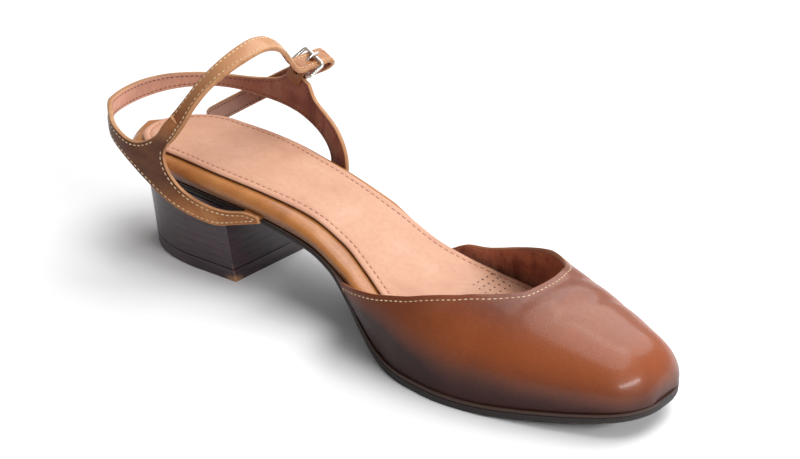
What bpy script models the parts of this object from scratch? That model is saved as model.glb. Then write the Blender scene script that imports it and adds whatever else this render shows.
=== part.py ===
"""A left slingback sandal with a closed square toe, a low block heel and an ankle strap.

The toe points along +X, the outer side of the foot is +Y and the floor is Z = 0.
The tables measure `along` from the back of the padded footbed towards the toe, and the
whole shoe hangs on one empty that puts the middle of the heel's tread at the origin.
"""

import math
from collections import namedtuple

import bmesh
import bpy
from mathutils import Vector

# Driving sizes in metres
SOLE_LENGTH = 0.252
BALL_WIDTH = 0.0846
HEEL_RISE = 0.0342
FOOTBED_STACK = 0.0100
OUTSOLE_THICKNESS = 0.0042
COVER_THICKNESS = 0.0016
PLATFORM_OVERHANG = 0.0055
GAP = 0.0003

# Heel block
HEEL_TREAD_LENGTH = 0.0580
HEEL_TREAD_WIDTH = 0.0472
HEEL_TREAD_BACK = 0.0070
HEEL_SEAT_BACK = 0.0028
HEEL_SEAT_WIDTH = 0.0530
HEEL_ROUNDNESS = 0.57
HEEL_BREAST = 0.0592
TOP_PIECE_THICKNESS = 0.0050

# Toe piece of the upper
VAMP_RISE = 0.0440
VAMP_WALL = 0.0018
VAMP_SETBACK = 0.0008
VAMP_SECTION = {"in": (0.906, 0.884), "out": (0.865, 1.258)}

# Straps
LEATHER = 0.0020
LOOP_REACH = 0.080
LOOP_HALF = 0.036
ANKLE_HEIGHT = 0.0936
SLING_DROP = 0.0320
SLING_HEIGHT = ANKLE_HEIGHT - SLING_DROP
ANKLE_STRAP_WIDTH = 0.0080
STRAP_FOOT_THICKNESS = 0.0014
STRAP_FOOT_REACH = 0.0080

# Buckle
BUCKLE_WIRE = 0.0015
BUCKLE_LENGTH = 0.0085
BUCKLE_WIDTH = 0.0110
BUCKLE_PITCH = math.radians(39.4)
BUCKLE_DROP = 0.00065
BUCKLE_SEAT = 0.0034
FORK_TOP = 0.0049
PRONG_WIRE = 0.0010
PRONG_HOLE = 0.0030
TAB_LEATHER = 0.0010
TAB_WIDTH = 0.0076
TAB_DROP = 0.0062
STRAP_HOLE = 0.0018
HOLE_PITCH = 0.0075

# Tread height, outsole and footbed thickness, shares of HEEL_RISE, OUTSOLE_THICKNESS
# and FOOTBED_STACK
Profile = namedtuple("Profile", "along tread sole stack")
PROFILE = [
    Profile(0.000, 1.000, 0.619, 0.95),
    Profile(0.100, 1.017, 0.619, 1.00),
    Profile(0.200, 0.983, 0.619, 1.00),
    Profile(0.300, 0.888, 0.619, 0.98),
    Profile(0.400, 0.743, 0.619, 0.82),
    Profile(0.445, 0.624, 0.631, 0.76),
    Profile(0.500, 0.395, 0.690, 0.80),
    Profile(0.545, 0.193, 0.786, 0.96),
    Profile(0.595, 0.029, 0.929, 1.12),
    Profile(0.623, 0.000, 1.000, 1.04),
    Profile(0.694, 0.000, 1.000, 0.82),
    Profile(0.754, 0.000, 1.000, 0.74),
    Profile(0.794, 0.016, 0.988, 0.72),
    Profile(0.893, 0.104, 0.929, 0.60),
    Profile(1.000, 0.243, 0.833, 0.42),
]

# Half widths of the padded cover, the platform and the outsole, shares of BALL_WIDTH
Outline = namedtuple("Outline", "along cover_in cover_out rand_in rand_out sole_in sole_out")
OUTLINES = [
    Outline(0.000, 0.264, 0.259, 0.323, 0.323, 0.303, 0.305),
    Outline(0.100, 0.264, 0.262, 0.323, 0.325, 0.302, 0.305),
    Outline(0.200, 0.259, 0.285, 0.316, 0.349, 0.292, 0.329),
    Outline(0.300, 0.208, 0.279, 0.272, 0.345, 0.252, 0.325),
    Outline(0.400, 0.149, 0.286, 0.238, 0.351, 0.236, 0.328),
    Outline(0.445, 0.150, 0.303, 0.243, 0.365, 0.250, 0.348),
    Outline(0.500, 0.177, 0.330, 0.268, 0.390, 0.305, 0.392),
    Outline(0.545, 0.222, 0.368, 0.330, 0.425, 0.365, 0.424),
    Outline(0.595, 0.279, 0.405, 0.395, 0.440, 0.426, 0.454),
    Outline(0.655, 0.343, 0.434, 0.450, 0.460, 0.485, 0.489),
    Outline(0.714, 0.390, 0.448, 0.470, 0.472, 0.500, 0.500),
    Outline(0.774, 0.408, 0.443, 0.450, 0.455, 0.474, 0.483),
    Outline(0.833, 0.385, 0.405, 0.400, 0.415, 0.420, 0.437),
    Outline(0.893, 0.325, 0.335, 0.335, 0.345, 0.352, 0.362),
    Outline(0.952, 0.245, 0.245, 0.255, 0.255, 0.275, 0.275),
    Outline(1.000, 0.190, 0.190, 0.200, 0.200, 0.230, 0.230),
]

# Rise of the vamp over the outsole as a share of VAMP_RISE, fullest half widths as
# shares of BALL_WIDTH
Vamp = namedtuple("Vamp", "along rise full_in full_out")
VAMP = [
    Vamp(0.470, 1.053, 0.449, 0.443),
    Vamp(0.545, 1.090, 0.485, 0.457),
    Vamp(0.600, 1.082, 0.498, 0.485),
    Vamp(0.655, 1.040, 0.507, 0.505),
    Vamp(0.714, 0.985, 0.503, 0.512),
    Vamp(0.774, 0.862, 0.485, 0.482),
    Vamp(0.833, 0.732, 0.441, 0.444),
    Vamp(0.893, 0.585, 0.370, 0.377),
    Vamp(0.952, 0.445, 0.293, 0.288),
    Vamp(1.000, 0.355, 0.240, 0.265),
]

# Where the vamp's edge crosses each direction of its section, from the inner side (0
# degrees) over the instep (90) to the outer side (180)
Topline = namedtuple("Topline", "angle along")
TOPLINE = [
    Topline(0, 0.492),
    Topline(12, 0.513),
    Topline(20, 0.547),
    Topline(28, 0.588),
    Topline(36, 0.639),
    Topline(46, 0.697),
    Topline(60, 0.755),
    Topline(75, 0.788),
    Topline(90, 0.794),
    Topline(105, 0.786),
    Topline(118, 0.762),
    Topline(130, 0.717),
    Topline(142, 0.655),
    Topline(152, 0.597),
    Topline(162, 0.548),
    Topline(180, 0.506),
]

# Plan of the strap loop round the ankle, shares of LOOP_REACH and LOOP_HALF
Loop = namedtuple("Loop", "forward aside")
LOOP = [
    Loop(0.988, -0.650),
    Loop(0.938, -0.668),
    Loop(0.875, -0.700),
    Loop(0.750, -0.778),
    Loop(0.625, -0.867),
    Loop(0.500, -0.950),
    Loop(0.375, -1.008),
    Loop(0.250, -1.028),
    Loop(0.125, -0.972),
    Loop(0.038, -0.833),
    Loop(-0.038, -0.667),
    Loop(-0.088, -0.458),
    Loop(-0.112, -0.222),
    Loop(-0.112, 0.056),
    Loop(-0.075, 0.333),
    Loop(0.000, 0.556),
    Loop(0.100, 0.736),
    Loop(0.250, 0.889),
    Loop(0.375, 0.972),
    Loop(0.500, 1.008),
    Loop(0.625, 1.008),
    Loop(0.750, 0.981),
    Loop(0.875, 0.917),
    Loop(0.938, 0.878),
    Loop(0.988, 0.855),
]

# Flat pattern of the harness: place along the loop, height, and whether the edge turns a
# corner there. The height is a share of SLING_HEIGHT up to 1, climbs to the foot of the
# forks' top at 1.5 and runs up that top, FORK_TOP high, at 2.
Edge = namedtuple("Edge", "around height corner")
LOW_EDGE = [
    Edge(0.000, 0.513, True),
    Edge(0.043, 0.469, False),
    Edge(0.091, 0.430, False),
    Edge(0.139, 0.462, False),
    Edge(0.186, 0.530, False),
    Edge(0.233, 0.644, False),
    Edge(0.278, 0.752, False),
    Edge(0.325, 0.834, False),
    Edge(0.364, 0.873, False),
    Edge(0.441, 0.864, False),
    Edge(0.526, 0.878, False),
    Edge(0.620, 0.909, False),
    Edge(0.700, 0.920, False),
    Edge(0.774, 0.893, False),
    Edge(0.820, 0.875, False),
    Edge(0.865, 0.842, False),
    Edge(0.911, 0.774, False),
    Edge(0.938, 0.708, False),
    Edge(0.950, 0.640, False),
    Edge(0.953, 0.537, True),
    Edge(1.000, 0.532, True),
]
HIGH_EDGE = [
    Edge(1.000, 0.532, True),
    Edge(0.999, 0.649, False),
    Edge(0.990, 0.747, False),
    Edge(0.974, 0.820, False),
    Edge(0.950, 0.883, False),
    Edge(0.911, 0.951, False),
    Edge(0.892, 1.000, False),
    Edge(0.878, 1.522, True),
    Edge(0.834, 2.000, True),
    Edge(0.822, 1.705, False),
    Edge(0.804, 1.428, False),
    Edge(0.774, 1.245, False),
    Edge(0.727, 1.120, False),
    Edge(0.620, 1.076, False),
    Edge(0.526, 1.031, False),
    Edge(0.441, 0.995, False),
    Edge(0.390, 1.031, False),
    Edge(0.350, 0.985, False),
    Edge(0.315, 0.932, False),
    Edge(0.278, 0.893, False),
    Edge(0.252, 0.893, False),
    Edge(0.230, 0.924, False),
    Edge(0.209, 0.979, False),
    Edge(0.195, 1.352, False),
    Edge(0.178, 1.837, True),
    Edge(0.155, 1.365, True),
    Edge(0.172, 0.990, False),
    Edge(0.187, 0.914, False),
    Edge(0.193, 0.834, False),
    Edge(0.185, 0.745, False),
    Edge(0.164, 0.654, False),
    Edge(0.141, 0.599, False),
    Edge(0.116, 0.564, False),
    Edge(0.090, 0.545, False),
    Edge(0.066, 0.544, False),
    Edge(0.046, 0.557, False),
    Edge(0.030, 0.564, False),
    Edge(0.000, 0.552, True),
]

# Middle line of the ankle strap and the way its grain side faces: shares of LOOP_REACH,
# LOOP_HALF and ANKLE_HEIGHT, the facing as a direction, the width as a share
Strap = namedtuple("Strap", "forward aside height face_x face_y face_z width")
ANKLE_STRAP = [
    Strap(0.450, -0.939, 0.612, -0.05, -1.00, 0.05, 0.86),
    Strap(0.506, -0.914, 0.670, -0.08, -0.98, 0.10, 0.92),
    Strap(0.550, -0.886, 0.732, -0.15, -0.90, 0.35, 1.00),
    Strap(0.584, -0.806, 0.799, -0.25, -0.75, 0.60, 1.00),
    Strap(0.622, -0.675, 0.874, -0.15, -0.62, 0.76, 1.00),
    Strap(0.662, -0.500, 0.936, 0.05, -0.45, 0.89, 1.00),
    Strap(0.682, -0.250, 0.978, 0.28, -0.25, 0.92, 1.00),
    Strap(0.688, 0.000, 0.998, 0.38, -0.02, 0.92, 1.00),
    Strap(0.680, 0.222, 0.985, 0.38, 0.20, 0.90, 1.00),
    Strap(0.665, 0.417, 0.949, 0.38, 0.50, 0.78, 1.00),
    Strap(0.650, 0.569, 0.902, 0.42, 0.70, 0.58, 1.00),
    Strap(0.636, 0.694, 0.853, 0.42, 0.68, 0.58, 1.00),
    Strap(0.622, 0.806, 0.815, 0.44, 0.40, 0.80, 1.00),
    Strap(0.611, 0.917, 0.799, 0.46, 0.05, 0.89, 1.00),
    Strap(0.608, 1.014, 0.799, 0.46, 0.00, 0.89, 1.00),
    Strap(0.608, 1.100, 0.799, 0.46, 0.00, 0.89, 1.00),
    Strap(0.608, 1.194, 0.799, 0.46, 0.00, 0.89, 1.00),
    Strap(0.608, 1.292, 0.800, 0.45, 0.00, 0.89, 1.00),
    Strap(0.608, 1.389, 0.799, 0.43, 0.30, 0.85, 1.00),
    Strap(0.603, 1.467, 0.784, 0.25, 0.85, 0.45, 1.00),
    Strap(0.590, 1.492, 0.766, 0.10, 1.00, -0.15, 1.00),
    Strap(0.570, 1.456, 0.752, 0.05, 0.90, -0.10, 1.00),
    Strap(0.531, 1.369, 0.732, 0.00, 0.92, 0.10, 1.00),
    Strap(0.469, 1.278, 0.695, 0.00, 0.92, 0.25, 1.00),
    Strap(0.375, 1.200, 0.640, 0.00, 0.91, 0.38, 1.00),
    Strap(0.250, 1.150, 0.567, 0.00, 0.90, 0.43, 1.00),
    Strap(0.125, 1.128, 0.493, 0.00, 0.90, 0.43, 1.00),
    Strap(0.000, 1.122, 0.419, 0.00, 0.90, 0.43, 1.00),
    Strap(-0.075, 1.125, 0.375, 0.00, 0.90, 0.43, 0.94),
    Strap(-0.102, 1.128, 0.359, 0.00, 0.90, 0.43, 0.60),
]
BUCKLE_ROW = 15

SEAT_RADIUS = 0.0300
TOE_START = 0.930
TOE_SQUARENESS = 2.68
RAND_EASE = 0.30
STATION_COUNT = 40


def smooth(rows, key, column):
    """Return a smooth function through a table that keeps flat runs flat."""
    xs = [getattr(row, key) for row in rows]
    ys = [getattr(row, column) for row in rows]
    steps = [(ys[k + 1] - ys[k]) / (xs[k + 1] - xs[k]) for k in range(len(xs) - 1)]
    slopes = [steps[0]]
    for before, after in zip(steps, steps[1:]):
        level = before * after <= 0
        slopes.append(0.0 if level else 2 * before * after / (before + after))
    slopes.append(steps[-1])

    def value(x):
        x = min(max(x, xs[0]), xs[-1])
        k = max(i for i in range(len(steps)) if xs[i] <= x)
        span = xs[k + 1] - xs[k]
        t = (x - xs[k]) / span
        rise = ys[k + 1] - ys[k]
        bend = span * (slopes[k] * t * (1 - t) ** 2 - slopes[k + 1] * t * t * (1 - t))
        return ys[k] + rise * t * t * (3 - 2 * t) + bend

    return value


tread_share = smooth(PROFILE, "along", "tread")
sole_share = smooth(PROFILE, "along", "sole")
stack_share = smooth(PROFILE, "along", "stack")
half_share = {name: smooth(OUTLINES, "along", name) for name in Outline._fields[1:]}
rise_share = smooth(VAMP, "along", "rise")
full_share = {"in": smooth(VAMP, "along", "full_in"), "out": smooth(VAMP, "along", "full_out")}
topline_share = smooth(TOPLINE, "angle", "along")


def tread_z(x):
    """Height of the outsole's underside."""
    return HEEL_RISE * tread_share(x / SOLE_LENGTH)


def bench_z(x):
    """Height of the outsole's upper face, on which platform and vamp are bottomed."""
    return tread_z(x) + OUTSOLE_THICKNESS * sole_share(x / SOLE_LENGTH)


def footbed_z(x):
    """Height of the padded cover's upper face."""
    return bench_z(x) + FOOTBED_STACK * stack_share(x / SOLE_LENGTH)


def heel_round(x, back, radius):
    """Share of the width left where an outline rounds off at the back of the heel."""
    t = min(max((back + radius - x) / radius, 0.0), 1.0)
    return math.sqrt(1 - t * t)


def toe_round(x, front):
    """Share of the width left where an outline rounds off towards a square toe."""
    start = SOLE_LENGTH * TOE_START
    t = min(max((x - start) / (front - start), 0.0), 1.0)
    return (1 - t ** TOE_SQUARENESS) ** (1 / TOE_SQUARENESS)


def half_width(x, name, back, radius, front):
    """Half width of one outline with both its ends rounded."""
    ends = heel_round(x, back, radius) * toe_round(x, front)
    return BALL_WIDTH * half_share[name](x / SOLE_LENGTH) * ends


SOLE_BACK = 0.0012
SOLE_TIP = SOLE_LENGTH - 0.0001
RAND_BACK = -PLATFORM_OVERHANG
RAND_TIP = SOLE_LENGTH - 0.0075
COVER_TIP = SOLE_LENGTH - 0.0105


def sole_half(x, side):
    """Half width of the outsole on the `in` or `out` side."""
    return half_width(x, "sole_" + side, SOLE_BACK, SEAT_RADIUS, SOLE_LENGTH)


def vamp_foot_half(x, side):
    """Half width of the vamp's lower edge, set back from the outsole's edge."""
    return sole_half(x, side) - VAMP_SETBACK


def rand_half(x, side):
    """Half width of the platform, eased in under the vamp from the waist forward."""
    free = half_width(x, "rand_" + side, RAND_BACK, SEAT_RADIUS, SOLE_LENGTH)
    ease = RAND_EASE * max(SOLE_LENGTH * TOPLINE[0].along - 0.002 - x, 0.0)
    return min(free, vamp_foot_half(x, side) - VAMP_WALL - GAP + ease)


def cover_half(x, side):
    """Half width of the padded cover."""
    free = half_width(x, "cover_" + side, 0.0, SEAT_RADIUS - 0.006, SOLE_LENGTH)
    return min(free, max(rand_half(x, side) - 2 * GAP, GAP))


def new_object(name, mesh, material, parent):
    """Place a mesh in the scene under the shoe's empty with its material."""
    obj = bpy.data.objects.new(name, mesh)
    obj.data.materials.append(material)
    obj.parent = parent
    bpy.context.scene.collection.objects.link(obj)
    return obj


def finish_mesh(name, bm, smooth_angle=40):
    """Turn a bmesh into a mesh with outward faces and softly shaded rounds."""
    bm.normal_update()
    bmesh.ops.recalc_face_normals(bm, faces=bm.faces)
    if bm.calc_volume(signed=True) < 0:
        bmesh.ops.reverse_faces(bm, faces=bm.faces)
    mesh = bpy.data.meshes.new(name)
    bm.to_mesh(mesh)
    bm.free()
    mesh.shade_smooth()
    mesh.set_sharp_from_angle(angle=math.radians(smooth_angle))
    return mesh


def loft(name, rings):
    """Skin a row of closed rings and cap both ends."""
    bm = bmesh.new()
    loops = [[bm.verts.new(point) for point in ring] for ring in rings]
    for ring, after in zip(loops, loops[1:]):
        count = len(ring)
        for k in range(count):
            n = (k + 1) % count
            bm.faces.new((ring[k], ring[n], after[n], after[k]))
    bm.faces.new(reversed(loops[0]))
    bm.faces.new(loops[-1])
    return finish_mesh(name, bm)


def end_spaced(start, end, count, crowd_start=True, crowd_end=True):
    """Places from start to end, closer together where an end rounds off."""
    places = []
    for k in range(count + 1):
        t = k / count
        if crowd_start and crowd_end:
            t = (1 - math.cos(math.pi * t)) / 2
        elif crowd_start:
            t = 1 - math.cos(math.pi * t / 2)
        elif crowd_end:
            t = math.sin(math.pi * t / 2)
        places.append(start + (end - start) * t)
    return places


def along_shoe(start, end):
    """Stations from heel to toe, shared by all pieces between their rounded ends."""
    toe = SOLE_LENGTH * TOE_START
    step = (toe - SEAT_RADIUS) / STATION_COUNT
    back = end_spaced(start + 0.0002, SEAT_RADIUS, 7, crowd_end=False)
    middle = [SEAT_RADIUS + step * k for k in range(1, STATION_COUNT)]
    front = end_spaced(toe, end, 8, crowd_start=False)
    return back + middle + front


def outsole_ring(x):
    """Section of the outsole: a thin slab with a small chamfer under its edge."""
    low, high = tread_z(x), bench_z(x)
    inner, outer = -sole_half(x, "in"), sole_half(x, "out")
    chamfer = min(0.0006, (outer - inner) / 6)
    return [
        Vector((x, inner + chamfer, low)),
        Vector((x, outer - chamfer, low)),
        Vector((x, outer, low + chamfer)),
        Vector((x, outer, high)),
        Vector((x, inner, high)),
        Vector((x, inner, low + chamfer)),
    ]


def make_outsole(material, parent):
    """Thin outsole from under the heel seat to the toe, flat under the ball."""
    rings = [outsole_ring(x) for x in along_shoe(SOLE_BACK, SOLE_TIP)]
    return new_object("outsole", loft("outsole", rings), material, parent)


def roll_points(x, side, low, high):
    """Edge of the platform from its lower corner up over the rolled top to the cover."""
    sign = -1 if side == "in" else 1
    outer = rand_half(x, side)
    seam = min(cover_half(x, side), outer - GAP)
    foot = min(sole_half(x, side) - 0.0006, outer) - 0.0004
    foot = max(foot, seam * 0.5)
    belly = low + (high - low) * 0.45
    points = []
    for k in range(2):
        a = math.pi / 2 * k / 2
        y = foot + (outer - foot) * math.sin(a)
        points.append(Vector((x, sign * y, belly - (belly - low) * math.cos(a))))
    for k in range(6):
        a = math.pi / 2 * k / 5
        y = seam + (outer - seam) * math.cos(a) ** 0.8
        points.append(Vector((x, sign * y, belly + (high - belly) * math.sin(a) ** 0.9)))
    return points


def platform_ring(x):
    """Section of the wrapped platform: flat below, rolled over at both top edges."""
    low = bench_z(x) + GAP
    high = footbed_z(x) - COVER_THICKNESS - GAP
    inner = roll_points(x, "in", low, high)
    outer = roll_points(x, "out", low, high)
    return outer + list(reversed(inner))


def strap_foot_ring(x, side, grow):
    """Section of the strap end that lies between platform and outsole."""
    sign = -1 if side == "in" else 1
    low = bench_z(x) + GAP - grow
    high = bench_z(x) + GAP + STRAP_FOOT_THICKNESS + grow
    joint = strap_wall_y(x, side) - LEATHER / 4
    inner = joint - STRAP_FOOT_REACH - grow
    outer = joint + (0.010 if grow else 0.0)
    return [Vector((x, sign * y, z)) for y, z in ((inner, low), (outer, low), (outer, high), (inner, high))]


STRAP_FOOT_SPAN = {"in": (0.0715, 0.0785), "out": (0.0695, 0.0785)}


def strap_foot(side, grow=0.0):
    """Strap end, or with `grow` the pocket cut for it under the platform."""
    start, end = STRAP_FOOT_SPAN[side]
    start, end = start - grow, end + grow
    places = [start + (end - start) * k / 4 for k in range(5)]
    name = ("strap_pocket_" if grow else "strap_foot_") + side
    return loft(name, [strap_foot_ring(x, side, grow) for x in places])


def make_helper(mesh, parent):
    """Hidden object that only cuts or joins another."""
    obj = bpy.data.objects.new(mesh.name, mesh)
    obj.parent = parent
    obj.hide_render = True
    obj.display_type = "WIRE"
    bpy.context.scene.collection.objects.link(obj)
    return obj


def combine(obj, helper, operation):
    """Cut a helper out of an object, or join it on."""
    modifier = obj.modifiers.new(helper.name, "BOOLEAN")
    modifier.operation = operation
    modifier.solver = "EXACT"
    modifier.object = helper


def make_platform(material, parent):
    """Leather-wrapped platform with pockets for the two strap ends."""
    rings = [platform_ring(x) for x in along_shoe(RAND_BACK, RAND_TIP)]
    obj = new_object("platform", loft("platform", rings), material, parent)
    for side in ("in", "out"):
        combine(obj, make_helper(strap_foot(side, GAP), parent), "DIFFERENCE")
    return obj


def cover_ring(x):
    """Section of the padded cover: flat below, soft edges and a slight crown above."""
    low = footbed_z(x) - COVER_THICKNESS
    high = footbed_z(x)
    points = []
    for side, sign in (("out", 1), ("in", -1)):
        half = cover_half(x, side)
        soft = min(0.0016, half * 0.5)
        edge = [(half - soft * 0.3, low), (half, low + COVER_THICKNESS * 0.45),
                (half - soft * 0.35, high - COVER_THICKNESS * 0.14), (half - soft, high)]
        row = [Vector((x, sign * y, z)) for y, z in edge]
        points.append(row)
    return points[0] + list(reversed(points[1]))


def make_cover(material, parent):
    """Padded cover of the footbed."""
    places = [x for x in along_shoe(0.0, COVER_TIP)]
    rings = [cover_ring(x) for x in places]
    return new_object("footbed_cover", loft("footbed_cover", rings), material, parent)


def heel_half(x, back, width, length):
    """Half width of the heel block with its rounded back and a slight taper forward."""
    share = max((x - back) / length - 0.6, 0.0) / 0.4
    return width / 2 * heel_round(x, back, HEEL_ROUNDNESS * length) * (1 - 0.08 * share)


def heel_columns():
    """Top and bottom plan points of the heel block, from its back to its breast."""
    columns = []
    seat_length = HEEL_BREAST - HEEL_SEAT_BACK
    for t in end_spaced(0.004, 1.0, 12, crowd_end=False):
        top_x = HEEL_SEAT_BACK + seat_length * t
        low_x = HEEL_TREAD_BACK + HEEL_TREAD_LENGTH * t
        low_half = heel_half(low_x, HEEL_TREAD_BACK, HEEL_TREAD_WIDTH, HEEL_TREAD_LENGTH)
        free = heel_half(top_x, HEEL_SEAT_BACK, HEEL_SEAT_WIDTH, seat_length)
        top = {side: min(free, sole_half(top_x, side)) for side in ("in", "out")}
        columns.append((top_x, low_x, top, low_half))
    return columns


def heel_ring(column, floor, ceiling):
    """Section of the heel between two heights, given as shares or None for its top."""
    top_x, low_x, top, low_half = column
    seat = tread_z(top_x) - GAP
    ring = []
    for side, sign in (("in", -1), ("out", 1)):
        heights = [floor + (ceiling - floor) * k / 4 for k in range(5)] if ceiling else None
        if heights is None:
            heights = [floor + (seat - floor) * k / 4 for k in range(5)]
        row = []
        for z in heights:
            share = z / seat
            flare = share ** 1.3
            half = low_half + (top[side] - low_half) * flare
            row.append(Vector((low_x + (top_x - low_x) * share, sign * half, z)))
        ring.append(row)
    return ring[0] + list(reversed(ring[1]))


def make_heel(block_material, tip_material, parent):
    """Stacked heel block and the top piece under it."""
    columns = heel_columns()
    block = [heel_ring(c, TOP_PIECE_THICKNESS + GAP, None) for c in columns]
    tip = [heel_ring(c, 0.0, TOP_PIECE_THICKNESS) for c in columns]
    return (
        new_object("heel_block", loft("heel_block", block), block_material, parent),
        new_object("heel_top_piece", loft("heel_top_piece", tip), tip_material, parent),
    )


def vamp_point(x, angle, inset):
    """Point of the vamp's outer face, or of its lining with inset = wall."""
    side = "in" if angle < 90 else "out"
    tip = SOLE_TIP - VAMP_SETBACK - inset
    bench = bench_z(x) + GAP
    start = SOLE_LENGTH * TOE_START
    t = min(max((x - start) / (tip - start), 0.0), 1.0)
    nose = (1 - t ** 2.2) ** (1 / 2.2)
    rise = (VAMP_RISE * rise_share(x / SOLE_LENGTH)) * nose - inset * min(nose * 3, 1.0)
    rise = max(rise, 0.0)
    foot = vamp_foot_half(x, side) - inset
    rounding = toe_round(x, SOLE_LENGTH)
    full = BALL_WIDTH * full_share[side](x / SOLE_LENGTH) * rounding - inset
    full = foot + max(full - foot, 0.0) * nose
    lift = math.sin(math.radians(angle))
    reach = abs(math.cos(math.radians(angle)))
    shoulder, slope = VAMP_SECTION[side]
    y = full * reach ** shoulder * (1 - (1 - foot / full) * (1 - lift) ** 4)
    sign = -1 if side == "in" else 1
    return Vector((x, sign * y, bench + rise * lift ** slope))


VAMP_DIRECTIONS = 30
VAMP_STATIONS = 22


def vamp_grid(inset):
    """Rows of vamp points from its edge to the toe, each over the instep."""
    tip = SOLE_TIP - VAMP_SETBACK - inset
    grid = []
    for i in range(VAMP_STATIONS + 1):
        t = math.sin(math.pi / 2 * i / VAMP_STATIONS)
        row = []
        for j in range(VAMP_DIRECTIONS + 1):
            angle = 180 * j / VAMP_DIRECTIONS
            start = SOLE_LENGTH * topline_share(angle)
            row.append(vamp_point(start + (tip - start) * t, angle, inset))
        grid.append(row)
    return grid


def make_vamp(material, parent):
    """Closed toe of the upper: one hollow wall, open above and below."""
    bm = bmesh.new()
    skins = []
    for inset in (0.0, VAMP_WALL):
        skins.append([[bm.verts.new(p) for p in row] for row in vamp_grid(inset)])
    for skin in skins:
        for row, after in zip(skin, skin[1:]):
            for k in range(VAMP_DIRECTIONS):
                bm.faces.new((row[k], row[k + 1], after[k + 1], after[k]))
    rims = []
    for skin in skins:
        down = [row[-1] for row in skin]
        back = [row[0] for row in reversed(skin)]
        rims.append(skin[0][:-1] + down[:-1] + list(reversed(skin[-1]))[:-1] + back[:-1])
    count = len(rims[0])
    for k in range(count):
        n = (k + 1) % count
        bm.faces.new((rims[0][k], rims[0][n], rims[1][n], rims[1][k]))
    return new_object("vamp", finish_mesh("vamp", bm, 60), material, parent)


def through(points, samples):
    """Smooth curve through points, with a number of samples to each span."""
    ends = [2 * points[0] - points[1]] + points + [2 * points[-1] - points[-2]]
    curve = []
    for k in range(1, len(ends) - 2):
        a, b, c, d = ends[k - 1:k + 3]
        for s in range(samples):
            t = s / samples
            bend = (2 * a - 5 * b + 4 * c - d) * t * t + (3 * b - a - 3 * c + d) * t ** 3
            curve.append((2 * b + (c - a) * t + bend) / 2)
    curve.append(points[-1])
    return curve


def loop_plan():
    """Plan curve of the strap loop with the distance run at each of its points."""
    points = [Vector((row.forward * LOOP_REACH, row.aside * LOOP_HALF, 0)) for row in LOOP]
    curve = through(points, 10)
    run = [0.0]
    for before, after in zip(curve, curve[1:]):
        run.append(run[-1] + (after - before).length)
    return curve, run


PLAN, RUN = loop_plan()


def on_loop(distance):
    """Place on the strap loop and the way its grain side faces."""
    distance = min(max(distance, RUN[0]), RUN[-1])
    k = max(i for i in range(len(RUN) - 1) if RUN[i] <= distance)
    t = (distance - RUN[k]) / (RUN[k + 1] - RUN[k])
    place = PLAN[k].lerp(PLAN[k + 1], t)
    before = PLAN[max(k - 3, 0)]
    after = PLAN[min(k + 4, len(PLAN) - 1)]
    heading = (after - before).normalized()
    return place, Vector((heading.y, -heading.x, 0)) * -1


def strap_wall_y(x, side):
    """Distance of the strap wall's middle from the centre line beside the platform."""
    points = [p for p in PLAN if (p.y < 0) == (side == "in") and p.x > 0.04]
    nearest = min(points, key=lambda p: abs(p.x - x))
    return abs(nearest.y)


def edge_height(share):
    """Height on the flat pattern, where the forks climb until the buckle seats on one."""
    fork_tip = ANKLE_STRAP[BUCKLE_ROW].height * ANKLE_HEIGHT - BUCKLE_SEAT
    if share >= 1.5:
        return fork_tip - FORK_TOP * (2.0 - share) * 2
    climb = fork_tip - FORK_TOP - SLING_HEIGHT
    return SLING_HEIGHT * min(share, 1.0) + climb * max(share - 1.0, 0.0) * 2


def edge_points(rows, samples):
    """Edge of the flat pattern, smooth between its corners."""
    length = RUN[-1]
    points = [Vector((row.around * length, 0, edge_height(row.height))) for row in rows]
    corners = [k for k, row in enumerate(rows) if row.corner]
    edge = []
    for start, end in zip(corners, corners[1:]):
        span = points[start:end + 1]
        if len(span) == 2:
            edge.append(span[0])
        else:
            edge.extend(through(span, samples)[:-1])
    return edge


HARNESS_BENDS = 60


def make_harness_mesh():
    """Cut the strap harness flat from leather and bend it round the ankle loop."""
    outline = edge_points(LOW_EDGE, 2) + edge_points(HIGH_EDGE, 2)
    bm = bmesh.new()
    face = bm.faces.new([bm.verts.new(p - Vector((0, LEATHER / 2, 0))) for p in outline])
    grown = bmesh.ops.extrude_face_region(bm, geom=[face])["geom"]
    moved = [item for item in grown if isinstance(item, bmesh.types.BMVert)]
    bmesh.ops.translate(bm, verts=moved, vec=(0, LEATHER, 0))
    for k in range(1, HARNESS_BENDS):
        geometry = bm.verts[:] + bm.edges[:] + bm.faces[:]
        place = Vector((RUN[-1] * k / HARNESS_BENDS, 0, 0))
        bmesh.ops.bisect_plane(bm, geom=geometry, dist=1e-6, plane_co=place, plane_no=(1, 0, 0))
    for vert in bm.verts:
        place, outward = on_loop(vert.co.x)
        vert.co = place + outward * vert.co.y + Vector((0, 0, vert.co.z))
    bmesh.ops.triangulate(bm, faces=bm.faces)
    return finish_mesh("strap_harness", bm, 50)


def strap_frames(samples):
    """Middle points, headings, grain directions and half widths along the ankle strap."""
    places = [Vector((r.forward * LOOP_REACH, r.aside * LOOP_HALF, r.height * ANKLE_HEIGHT))
              for r in ANKLE_STRAP]
    faces = [Vector((r.face_x, r.face_y, r.face_z)).normalized() for r in ANKLE_STRAP]
    widths = [Vector((r.width, 0, 0)) for r in ANKLE_STRAP]
    middle = through(places, samples)
    facing = through(faces, samples)
    share = through(widths, samples)
    frames = []
    for k, place in enumerate(middle):
        heading = (middle[min(k + 1, len(middle) - 1)] - middle[max(k - 1, 0)]).normalized()
        grain = (facing[k] - heading * facing[k].dot(heading)).normalized()
        frames.append((place, heading, grain, share[k].x * ANKLE_STRAP_WIDTH / 2))
    return frames


STRAP_SAMPLES = 3


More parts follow.
